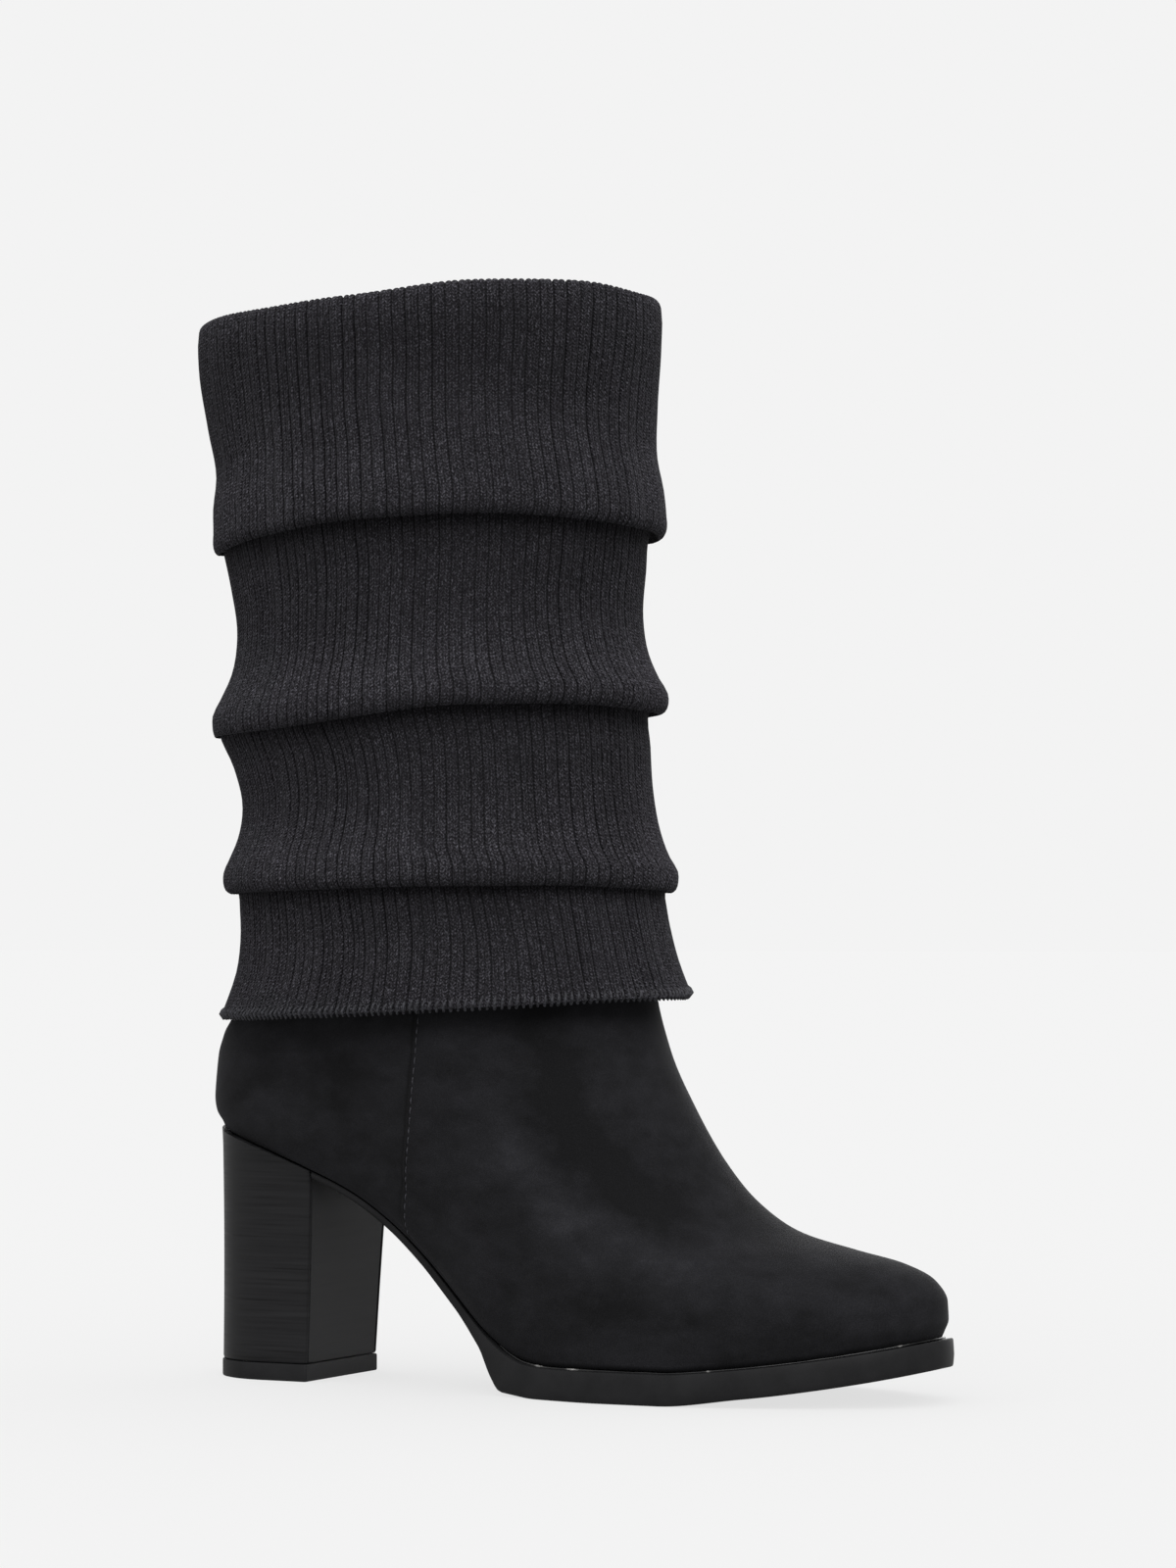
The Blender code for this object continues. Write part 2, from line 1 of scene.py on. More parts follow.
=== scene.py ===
"""Sock boot for the right foot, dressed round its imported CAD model.

A faux-suede foot on a block heel and a rubber sole, with a rib-knit shaft that folds down in
three slouched tiers. Lengths are in metres, the floor is z = 0, the toe points along +X and
+Y is the inner side of the foot. Stations run along the foot from 0 at the back of the counter
to 1 at the toe. A loop round the boot starts at its back and runs along the outer side to the
front, then returns along the inner side. Tables repeat the sizes of the CAD source.
"""

import json
import logging
import math
from dataclasses import dataclass
from enum import Enum
from typing import NamedTuple

import bmesh
import bpy
import numpy as np
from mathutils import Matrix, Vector

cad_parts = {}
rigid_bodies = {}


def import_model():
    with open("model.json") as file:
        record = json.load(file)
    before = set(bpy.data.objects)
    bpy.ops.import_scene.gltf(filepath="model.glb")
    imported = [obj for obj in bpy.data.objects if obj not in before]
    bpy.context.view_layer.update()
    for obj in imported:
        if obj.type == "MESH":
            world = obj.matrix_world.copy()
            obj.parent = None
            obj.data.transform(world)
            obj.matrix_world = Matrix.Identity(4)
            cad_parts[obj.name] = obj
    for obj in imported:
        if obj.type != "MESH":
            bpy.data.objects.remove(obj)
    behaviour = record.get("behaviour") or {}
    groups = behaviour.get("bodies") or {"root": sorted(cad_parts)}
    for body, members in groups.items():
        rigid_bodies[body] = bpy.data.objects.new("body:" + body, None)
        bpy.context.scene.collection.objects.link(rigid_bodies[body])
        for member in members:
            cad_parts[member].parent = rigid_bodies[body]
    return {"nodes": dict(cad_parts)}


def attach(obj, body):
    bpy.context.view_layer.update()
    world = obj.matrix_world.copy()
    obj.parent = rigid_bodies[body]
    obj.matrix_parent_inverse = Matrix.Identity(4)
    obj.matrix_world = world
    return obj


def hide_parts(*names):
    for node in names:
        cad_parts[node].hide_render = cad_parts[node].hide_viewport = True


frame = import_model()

LOG = logging.getLogger("sock_boot")
Array = np.ndarray
MM = 0.001


class Side(Enum):
    """A side of the foot, with the sign of its Y."""

    OUTER = -1.0
    INNER = 1.0


class Slot(Enum):
    """The record's material slots."""

    SUEDE = "suede"
    KNIT = "rib_knit"
    RUBBER = "sole_rubber"
    HEEL = "stacked_heel"
    FOOTBED = "footbed"


# ---------------------------------------------------------------- curves and meshes


def monotone(xs: Array, ys: Array, x: Array) -> Array:
    """Cubic through points that never overshoots a flat or a peak.

    Args:
        xs: places of the points, rising.
        ys: their values, with one row for each place.
        x: where the curve is read.

    Returns:
        The values there, with one row for each x where ys has columns.
    """
    xs, ys, x = np.asarray(xs, float), np.asarray(ys, float), np.asarray(x, float)
    wide = (slice(None),) + (None,) * (ys.ndim - 1)
    step = np.diff(xs)[wide]
    slope = np.diff(ys, axis=0) / step
    tangent = np.zeros_like(ys)
    tangent[0], tangent[-1] = slope[0], slope[-1]
    same = slope[:-1] * slope[1:] > 0
    below = slope[:-1] * step[:-1] + slope[1:] * step[1:]
    mean = slope[:-1] * slope[1:] * (step[:-1] + step[1:]) / np.where(same, below, 1.0)
    tangent[1:-1] = np.where(same, mean, 0.0)
    at = np.clip(np.searchsorted(xs, x, side="right") - 1, 0, len(xs) - 2)
    t = np.clip((x - xs[at]) / np.diff(xs)[at], 0.0, 1.0)
    run = np.diff(xs)[at]
    if ys.ndim > 1 and x.ndim:
        t, run = t[wide], run[wide]
    start = ys[at] * (1 + 2 * t) * (1 - t) ** 2 + run * tangent[at] * t * (1 - t) ** 2
    return start + ys[at + 1] * t * t * (3 - 2 * t) - run * tangent[at + 1] * t * t * (1 - t)


def flowing(rings: Array, steps: list[int]) -> Array:
    """A smooth surface through rings, with more rings between them.

    Args:
        rings: the rings, each with the same number of points.
        steps: how many parts each gap between two rings is cut into.

    Returns:
        The rings of the smooth surface.
    """
    gap = np.linalg.norm(np.diff(rings, axis=0), axis=2).mean(axis=1)
    place = np.concatenate([[0.0], np.cumsum(gap)])
    slope = np.diff(rings, axis=0) / gap[:, None, None]
    tangent = np.empty_like(rings)
    tangent[0], tangent[-1] = slope[0], slope[-1]
    before, after = gap[:-1, None, None], gap[1:, None, None]
    tangent[1:-1] = (slope[:-1] * after + slope[1:] * before) / (before + after)
    made = []
    for i, count in enumerate(steps):
        run = place[i + 1] - place[i]
        for t in np.arange(count) / count:
            made.append(
                rings[i] * (1 + 2 * t) * (1 - t) ** 2
                + rings[i + 1] * t * t * (3 - 2 * t)
                + run * (tangent[i] * t * (1 - t) ** 2 - tangent[i + 1] * t * t * (1 - t))
            )
    made.append(rings[-1])
    return np.array(made)


def ring_normals(rings: Array) -> Array:
    """Unit normals of a surface of closed rings, pointing left of the way that they run."""
    across = np.roll(rings, -1, axis=1) - np.roll(rings, 1, axis=1)
    along = np.gradient(rings, axis=0)
    normal = np.cross(along, across)
    return normal / np.maximum(np.linalg.norm(normal, axis=2, keepdims=True), 1e-12)


def smoothstep(x: Array) -> Array:
    """A soft step from 0 to 1 as x goes from 0 to 1."""
    x = np.clip(x, 0.0, 1.0)
    return x * x * (3 - 2 * x)


def ripple(x: Array, seed: int, terms: int = 5) -> Array:
    """A smooth random wave of x, about -1 to 1, that repeats every 2 pi."""
    rng = np.random.default_rng(seed)
    total = np.zeros_like(np.asarray(x, float))
    for k in range(1, terms + 1):
        total += np.sin(k * x + rng.uniform(0, 2 * math.pi)) * rng.uniform(0.4, 1.0) / math.sqrt(k)
    return total / 1.6


def surface(
    name: str,
    rings: Array,
    finish: bpy.types.Material,
    joined: bool = False,
    uv: Array | None = None,
) -> bpy.types.Object:
    """A closed mesh from rings of points.

    Args:
        name: the piece's name.
        rings: rings of equal length, in order.
        finish: its material.
        joined: whether the last ring meets the first, or else both are closed by a fan of strips.
        uv: a place on the texture for each point, with one more column than the rings have.

    Returns:
        The piece, with its faces turned outwards.
    """
    rows, cols = rings.shape[:2]
    row = np.arange(rows if joined else rows - 1)
    low, left = (a.ravel() for a in np.meshgrid(row, np.arange(cols), indexing="ij"))
    high, right = (low + 1) % rows, (left + 1) % cols
    near, far = low * cols, high * cols
    quads = np.stack([near + left, near + right, far + right, far + left], 1)
    points = rings.reshape(-1, 3)
    faces = quads.tolist()
    if not joined:
        for start, turned in ((0, True), ((rows - 1) * cols, False)):
            strips = [[0, 1, cols - 1]]
            strips += [[i, i + 1, cols - i - 1, cols - i] for i in range(1, cols // 2 - 1)]
            strips += [[cols // 2 - 1, cols // 2, cols // 2 + 1]]
            if cols % 2:
                strips[-1] = [cols // 2 - 1, cols // 2, cols // 2 + 1, cols // 2 + 2]
            faces += [[start + i for i in (reversed(s) if turned else s)] for s in strips]
    a, b, c = points[quads[:, 0]], points[quads[:, 1]], points[quads[:, 2]]
    d = points[quads[:, 3]]
    volume = np.einsum("ij,ij->", a, np.cross(b, c)) + np.einsum("ij,ij->", a, np.cross(c, d))
    if volume < 0:
        faces = [face[::-1] for face in faces]
    mesh = bpy.data.meshes.new(name)
    mesh.from_pydata(points.tolist(), [], faces)
    if uv is not None:
        corners = np.empty((len(quads), 4, 2))
        for k, (r, s) in enumerate(((0, 0), (0, 1), (1, 1), (1, 0))):
            corners[:, k] = uv[low + r, left + s]
        if volume < 0:
            corners = corners[:, ::-1]
        layer = mesh.uv_layers.new(name="stitches")
        flat = np.zeros(len(mesh.loops) * 2)
        flat[: corners.size] = corners.ravel()
        layer.data.foreach_set("uv", flat)
    return placed(name, mesh, finish)


def placed(name: str, mesh: bpy.types.Mesh, finish: bpy.types.Material) -> bpy.types.Object:
    """A mesh as an object in the scene, smooth between its sharp edges."""
    mesh.update()
    mesh.shade_smooth()
    mesh.set_sharp_from_angle(angle=math.radians(50))
    mesh.materials.append(finish)
    thing = bpy.data.objects.new(name, mesh)
    bpy.context.scene.collection.objects.link(thing)
    return thing


def tubes(
    name: str, paths: list[Array], radius: list[Array], finish: bpy.types.Material, sides: int = 8
) -> bpy.types.Object:
    """Round threads or beads along paths, as one piece with closed ends.

    Args:
        name: the piece's name.
        paths: the points of each thread.
        radius: its radius at each point.
        finish: its material.
        sides: how many sides it has.

    Returns:
        The piece.
    """
    points, faces = [], []
    turn = np.linspace(0, 2 * math.pi, sides, endpoint=False)
    for path, thick in zip(paths, radius):
        way = np.gradient(path, axis=0)
        way /= np.linalg.norm(way, axis=1, keepdims=True)
        first = np.cross(way[0], (0.0, 0.3, 0.95) if abs(way[0][2]) < 0.8 else (1.0, 0.0, 0.0))
        base = len(points)
        for point, run, r in zip(path, way, thick):
            first = first - run * (first @ run)
            first /= np.linalg.norm(first)
            second = np.cross(run, first)
            ring = point + r * (np.outer(np.cos(turn), first) + np.outer(np.sin(turn), second))
            points += ring.tolist()
        for i in range(len(path) - 1):
            for j in range(sides):
                k = (j + 1) % sides
                low, high = base + i * sides, base + (i + 1) * sides
                faces.append([low + j, low + k, high + k, high + j])
        faces.append([base + j for j in reversed(range(sides))])
        faces.append([base + (len(path) - 1) * sides + j for j in range(sides)])
    mesh = bpy.data.meshes.new(name)
    mesh.from_pydata(points, [], faces)
    return placed(name, mesh, finish)


def give(thing: bpy.types.Object, name: str, values: Array) -> None:
    """Stores a value at each point of a piece, for its material.

    Args:
        thing: the piece.
        name: what the material calls the value.
        values: one number for each point.
    """
    layer = thing.data.attributes.new(name, "FLOAT", "POINT")
    layer.data.foreach_set("value", np.asarray(values, float).ravel())


def settle(thing: bpy.types.Object, slot: Slot, *nodes: str) -> bpy.types.Object:
    """Lets a piece ride on the boot, in place of CAD nodes."""
    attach(thing, "root")
    if nodes:
        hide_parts(*nodes)
    LOG.info("%s: %d faces", thing.name, len(thing.data.polygons))
    return thing


# ---------------------------------------------------------------- finishes


def linear(code: str) -> tuple[float, float, float, float]:
    """An sRGB hex colour as linear light."""
    parts = [int(code.lstrip("#")[i : i + 2], 16) / 255 for i in (0, 2, 4)]
    light = [p / 12.92 if p <= 0.04045 else ((p + 0.055) / 1.055) ** 2.4 for p in parts]
    return (*light, 1.0)


def add(
    tree: bpy.types.NodeTree, kind: str, links: dict | None = None, **settings
) -> bpy.types.Node:
    """Adds a node.

    Args:
        tree: the material's node tree.
        kind: the node's type without its ShaderNode prefix.
        links: for each input, by name or number, an output to join to it or a value for it.
        settings: the node's own settings.

    Returns:
        The node.
    """
    node = tree.nodes.new("ShaderNode" + kind)
    for key, value in settings.items():
        setattr(node, key, value)
    for key, source in (links or {}).items():
        if isinstance(source, bpy.types.NodeSocket):
            tree.links.new(source, node.inputs[key])
        else:
            node.inputs[key].default_value = source
    return node


def ramp(tree: bpy.types.NodeTree, fac: bpy.types.NodeSocket, stops: list) -> bpy.types.NodeSocket:
    """A colour ramp.

    Args:
        tree: the material's node tree.
        fac: what drives it.
        stops: places with hex colours or grey values.

    Returns:
        Its colour.
    """
    node = add(tree, "ValToRGB", {0: fac})
    line = node.color_ramp.elements
    while len(line) < len(stops):
        line.new(0.5)
    for stop, (place, colour) in zip(line, stops):
        stop.position = place
        stop.color = linear(colour) if isinstance(colour, str) else (colour, colour, colour, 1.0)
    return node.outputs[0]


def maths(tree: bpy.types.NodeTree, operation: str, *values) -> bpy.types.NodeSocket:
    """A sum on sockets and numbers."""
    return add(tree, "Math", dict(enumerate(values)), operation=operation).outputs[0]


def mixed(tree: bpy.types.NodeTree, fac, first, second, blend: str = "MIX") -> bpy.types.NodeSocket:
    """Two colours mixed."""
    links = {0: fac, 6: first, 7: second}
    return add(tree, "Mix", links, data_type="RGBA", blend_type=blend).outputs[2]


def tune(shader: bpy.types.Node, settings: dict) -> None:
    """Sets values that are the same all over, on the shader's own inputs."""
    for name, value in settings.items():
        shader.inputs[name].default_value = value


class Finish:
    """What the finishes share: a named material with one Principled shader."""

    name = "finish"

    def begin(self) -> tuple[bpy.types.Material, bpy.types.NodeTree, bpy.types.Node]:
        """A new material with its tree and shader."""
        made = bpy.data.materials.new(self.name)
        made.use_nodes = True
        return made, made.node_tree, made.node_tree.nodes["Principled BSDF"]

    @staticmethod
    def place(tree: bpy.types.NodeTree, scale: tuple = (1.0, 1.0, 1.0)) -> bpy.types.NodeSocket:
        """Places on the boot, stretched by a scale along each axis."""
        where = add(tree, "TexCoord").outputs["Object"]
        return add(tree, "Mapping", {"Vector": where, "Scale": scale}).outputs[0]

    @staticmethod
    def noise(
        tree: bpy.types.NodeTree, where, size: float, detail: float = 2.0
    ) -> bpy.types.NodeSocket:
        """Noise whose blotches are about a size across, in metres."""
        links = {"Vector": where, "Scale": 1.0 / size, "Detail": detail, "Roughness": 0.55}
        return add(tree, "TexNoise", links).outputs[0]

    @staticmethod
    def bump(tree: bpy.types.NodeTree, height, depth: float, strength: float, under=None):
        """A bump of a real depth in metres over another one."""
        links = {"Height": height, "Distance": depth, "Strength": strength}
        if under is not None:
            links["Normal"] = under
        return add(tree, "Bump", links).outputs[0]


@dataclass(frozen=True)
class AcrylicRibKnit(Finish):
    """Heathered acrylic and wool rib knit: soft, matt and hairy, with painted shade in furrows."""

    name: str = "AcrylicRibKnit"
    dark: str = "#0c0c0e"
    mid: str = "#1f1e21"
    light: str = "#4f4e54"
    heather_size: float = 0.55 * MM  # a spun yarn's flecks, about half a stitch long
    blotch_size: float = 24 * MM
    stitch_depth: float = 0.35 * MM
    slant: float = 1.1  # how far a stitch's legs lean, in courses

    def make(self) -> bpy.types.Material:
        """The knit, whose stitches follow the wales and courses of the map."""
        made, tree, shader = self.begin()
        across = add(tree, "SeparateXYZ", {0: add(tree, "UVMap", uv_map="stitches").outputs[0]})
        wale, course = across.outputs[0], across.outputs[1]
        share = maths(tree, "FRACT", wale)
        off = maths(tree, "ABSOLUTE", maths(tree, "SUBTRACT", share, 0.5))
        fold = maths(tree, "ABSOLUTE", maths(tree, "MULTIPLY_ADD", off, 4.0, -1.0))
        leg = maths(tree, "SUBTRACT", 1.0, fold)
        phase = maths(tree, "ADD", course, maths(tree, "MULTIPLY", off, self.slant * 2))
        wave = maths(tree, "SINE", maths(tree, "MULTIPLY", phase, 2 * math.pi))
        loop = maths(tree, "MULTIPLY_ADD", wave, 0.5, 0.5)
        stitch = maths(tree, "MULTIPLY", leg, loop)
        where = self.place(tree)
        fleck = self.noise(tree, where, self.heather_size, 3.0)
        colour = ramp(tree, fleck, [(0.30, self.dark), (0.50, self.mid), (0.72, self.light)])
        blotch = self.noise(tree, where, self.blotch_size)
        colour = mixed(tree, 1.0, colour, ramp(tree, blotch, [(0.3, 0.82), (0.7, 1.0)]), "MULTIPLY")
        # painted shade between the stitch loops
        shade = ramp(tree, stitch, [(0.0, 0.38), (0.62, 1.0)])
        colour = mixed(tree, 1.0, colour, shade, "MULTIPLY")
        # painted light and shade stored on the piece: paler over the rim and lips, darker under
        # them
        painted_light_and_shade = add(tree, "Attribute", attribute_name="painted_light_and_shade").outputs["Color"]
        colour = mixed(tree, 1.0, colour, painted_light_and_shade, "MULTIPLY")
        # painted shade in the furrow between rib pairs, uneven along it
        pair = maths(tree, "FRACT", maths(tree, "MULTIPLY", wale, 0.5))
        edge = maths(tree, "MINIMUM", pair, maths(tree, "SUBTRACT", 1.0, pair))
        furrow = ramp(tree, edge, [(0.0, 0.12), (0.06, 0.45), (0.13, 1.0)])
        uneven = self.noise(tree, self.place(tree, (1.0, 1.0, 0.35)), 9 * MM)
        fade = ramp(tree, uneven, [(0.30, 0.45), (0.62, 1.0)])
        colour = mixed(tree, fade, colour, mixed(tree, 1.0, colour, furrow, "MULTIPLY"))
        tree.links.new(colour, shader.inputs["Base Color"])
        fuzz = self.bump(tree, fleck, 0.3 * MM, 0.7)
        normal = self.bump(tree, stitch, self.stitch_depth, 0.9, fuzz)
        tree.links.new(normal, shader.inputs["Normal"])
        settings = {
            "Roughness": 0.95,
            "Specular IOR Level": 0.06,
            "Sheen Weight": 0.04,
            "Sheen Roughness": 0.6,
            "Sheen Tint": linear("#b8b6c0"),
        }
        tune(shader, settings)
        return made


@dataclass(frozen=True)
class FauxSuede(Finish):
    """Brushed polyester microfibre: a short nap with lighter and darker brush marks."""

    name: str = "FauxSuede"
    deep: str = "#0d0d0e"
    mid: str = "#171719"
    light_nap_and_highlight: str = "#28282b"
    nap_size: float = 0.35 * MM  # fibre tufts
    crumple_size: float = 5 * MM  # where the nap was pinched
    brush_size: float = 16 * MM  # hand-sized brush marks

    def make(self) -> bpy.types.Material:
        """The suede, with brush marks, tufts and the patches stored on the piece."""
        made, tree, shader = self.begin()
        where = self.place(tree)
        tuft = self.noise(tree, where, self.nap_size, 2.0)
        cloud = self.noise(tree, self.place(tree, (0.7, 1.0, 1.3)), self.brush_size, 5.0)
        crumple = self.noise(tree, self.place(tree, (0.8, 1.0, 1.2)), self.crumple_size, 6.0)
        # pile marks with painted highlights and painted shade, stored on the piece
        patch = add(tree, "Attribute", attribute_name="nap_and_painted_shading").outputs["Fac"]
        level = maths(tree, "MULTIPLY_ADD", cloud, 0.50, -0.05)
        level = maths(tree, "ADD", maths(tree, "MULTIPLY_ADD", crumple, 0.32, level), patch)
        colour = ramp(tree, level, [(0.22, self.deep), (0.48, self.mid), (0.85, self.light_nap_and_highlight)])
        speck = ramp(tree, tuft, [(0.30, 0.72), (0.55, 1.0), (0.74, 1.35)])
        colour = mixed(tree, 1.0, colour, speck, "MULTIPLY")
        tree.links.new(colour, shader.inputs["Base Color"])
        lay = self.bump(tree, cloud, 0.5 * MM, 0.25)
        tree.links.new(self.bump(tree, tuft, 0.12 * MM, 0.6, lay), shader.inputs["Normal"])
        settings = {
            "Roughness": 0.92,
            "Specular IOR Level": 0.05,
            "Sheen Weight": 0.05,
            "Sheen Roughness": 0.45,
            "Sheen Tint": linear("#a9a9ac"),
        }
        tune(shader, settings)
        return made


@dataclass(frozen=True)
class MouldedRubber(Finish):
    """Thermoplastic rubber, moulded in a fine-sparked tool: even, matt and a little grey."""

    name: str = "MouldedRubber"
    colour: str = "#0e0e0f"
    dusty: str = "#151516"
    spark_size: float = 0.5 * MM
    roughness: float = 0.62

    def make(self) -> bpy.types.Material:
        """The rubber, with its sparked grain and a breath of dust."""
        made, tree, shader = self.begin()
        where = self.place(tree)
        grain = self.noise(tree, where, self.spark_size, 2.0)
        dust = self.noise(tree, where, 9 * MM, 4.0)
        colour = ramp(tree, dust, [(0.35, self.colour), (0.75, self.dusty)])
        tree.links.new(colour, shader.inputs["Base Color"])
        rough = maths(tree, "MULTIPLY_ADD", dust, 0.16, self.roughness - 0.08)
        tree.links.new(rough, shader.inputs["Roughness"])
        tree.links.new(self.bump(tree, grain, 0.05 * MM, 0.5), shader.inputs["Normal"])
        tune(shader, {"Specular IOR Level": 0.10})
        return made


@dataclass(frozen=True)
class LacqueredStack(Finish):
    """ABS heel wrapped in a printed stack: fine dark layers under satin lacquer."""

    name: str = "LacqueredStack"
    deep: str = "#060606"
    mid: str = "#101011"
    pale: str = "#1b1b1c"
    layer: float = 0.8 * MM  # one leather lift shows as streaks under a millimetre thick

    def make(self) -> bpy.types.Material:
        """The heel's sides, streaked level round the block."""
        made, tree, shader = self.begin()
        lifts = self.noise(tree, self.place(tree, (0.022, 0.03, 1.0)), self.layer, 4.0)
        broad = self.noise(tree, self.place(tree, (0.10, 0.12, 1.0)), 6 * MM, 3.0)
        fine = maths(tree, "MULTIPLY", lifts, 0.72)
        level = maths(tree, "ADD", fine, maths(tree, "MULTIPLY", broad, 0.28))
        colour = ramp(tree, level, [(0.32, self.deep), (0.41, self.mid), (0.80, self.pale)])
        tree.links.new(colour, shader.inputs["Base Color"])
        rough = maths(tree, "MULTIPLY_ADD", lifts, 0.30, 0.36)
        tree.links.new(rough, shader.inputs["Roughness"])
        tree.links.new(self.bump(tree, lifts, 0.08 * MM, 0.4), shader.inputs["Normal"])
        settings = {
            "Specular IOR Level": 0.08,
            "Coat Weight": 0.03,
            "Coat Roughness": 0.5,
        }
        tune(shader, settings)
        return made


@dataclass(frozen=True)
class FootbedLining(Finish):
    """Coated textile of the footbed and inside: smooth, matt, finely pored."""

    name: str = "FootbedLining"
    colour: str = "#39373a"

    def make(self) -> bpy.types.Material:
        """The lining."""
        made, tree, shader = self.begin()
        where = self.place(tree)
        pores = self.noise(tree, where, 0.7 * MM, 2.0)
        colour = ramp(tree, pores, [(0.3, "#2e2c2f"), (0.7, self.colour)])
        tree.links.new(colour, shader.inputs["Base Color"])
        tree.links.new(self.bump(tree, pores, 0.06 * MM, 0.4), shader.inputs["Normal"])
        tune(shader, {"Roughness": 0.75})
        return made


@dataclass(frozen=True)
class PolyesterThread(Finish):
    """Twisted polyester thread: a low gloss with the turns of its plies."""

    name: str = "PolyesterThread"
    dark: str = "#151517"
    colour: str = "#2f2f33"
    ply: float = 0.5 * MM

    def make(self) -> bpy.types.Material:
        """The thread."""
        made, tree, shader = self.begin()
        turn = self.noise(tree, self.place(tree), self.ply, 1.0)
        colour = ramp(tree, turn, [(0.35, self.dark), (0.65, self.colour)])
        tree.links.new(colour, shader.inputs["Base Color"])
        tree.links.new(self.bump(tree, turn, 0.05 * MM, 0.6), shader.inputs["Normal"])
        settings = {
            "Roughness": 0.7,
            "Specular IOR Level": 0.15,
        }
        tune(shader, settings)
        return made


@dataclass(frozen=True)
class HeatheredYarn(PolyesterThread):
    """The knit's own yarn, of which the hem's overlock is made."""

    name: str = "HeatheredYarn"
    dark: str = "#0f0f11"
    colour: str = "#2b2b2f"
    ply: float = 0.7 * MM


@dataclass(frozen=True)
class SoleCement(Finish):
    """Dried contact cement in the sole's joint: dark, painted pale in spots as glints."""

    name: str = "SoleCement"

    def make(self) -> bpy.types.Material:
        """The cement, painted pale as glints only where its blobs stand."""
        made, tree, shader = self.begin()
        blobs = self.noise(tree, self.place(tree), 5 * MM, 3.0)
        # painted glints: where they stand along the bead
        thick = add(tree, "Attribute", attribute_name="thick").outputs["Fac"]
        level = maths(tree, "MULTIPLY_ADD", blobs, 0.6, thick)
        colour = ramp(tree, level, [(0.45, "#0c0c0d"), (0.58, "#1c1c1c"), (0.72, "#7b7a78")])
        tree.links.new(colour, shader.inputs["Base Color"])
        settings = {
            "Roughness": 0.35,
            "Specular IOR Level": 0.2,
        }
        tune(shader, settings)
        return made


@dataclass(frozen=True)
class LightTable(Finish):
    """Milky acrylic lit evenly from below: flat, matt and pale, with hardly a shadow."""

    name: str = "LightTable"
    colour: str = "#808080"
    glow: float = 0.71

    def make(self) -> bpy.types.Material:
        """The acrylic."""
        made, tree, shader = self.begin()
        settings = {
            "Base Color": linear(self.colour),
            "Emission Color": (1.0, 1.0, 1.0, 1.0),
            "Emission Strength": self.glow,
            "Roughness": 1.0,
            "Specular IOR Level": 0.0,
        }
        tune(shader, settings)
        return made


# ---------------------------------------------------------------- the last


class Plan(NamedTuple):
    """Half widths of the foot at a station, seen from above."""

    station: float
    width: float
    outer: float
    inner: float
    full: float


class Tread(NamedTuple):
    """The foot's underside from the side."""

    station: float
    lift: float
    spring: float
    thick: float
    ledge: float


class Line(NamedTuple):
    """A line round the suede, from its lower edge to the collar."""

    rise: float
    back: float
    front: float
    top: float
    level: float
    leg: float
    body: float
    heel_blunt: float
    toe_blunt: float


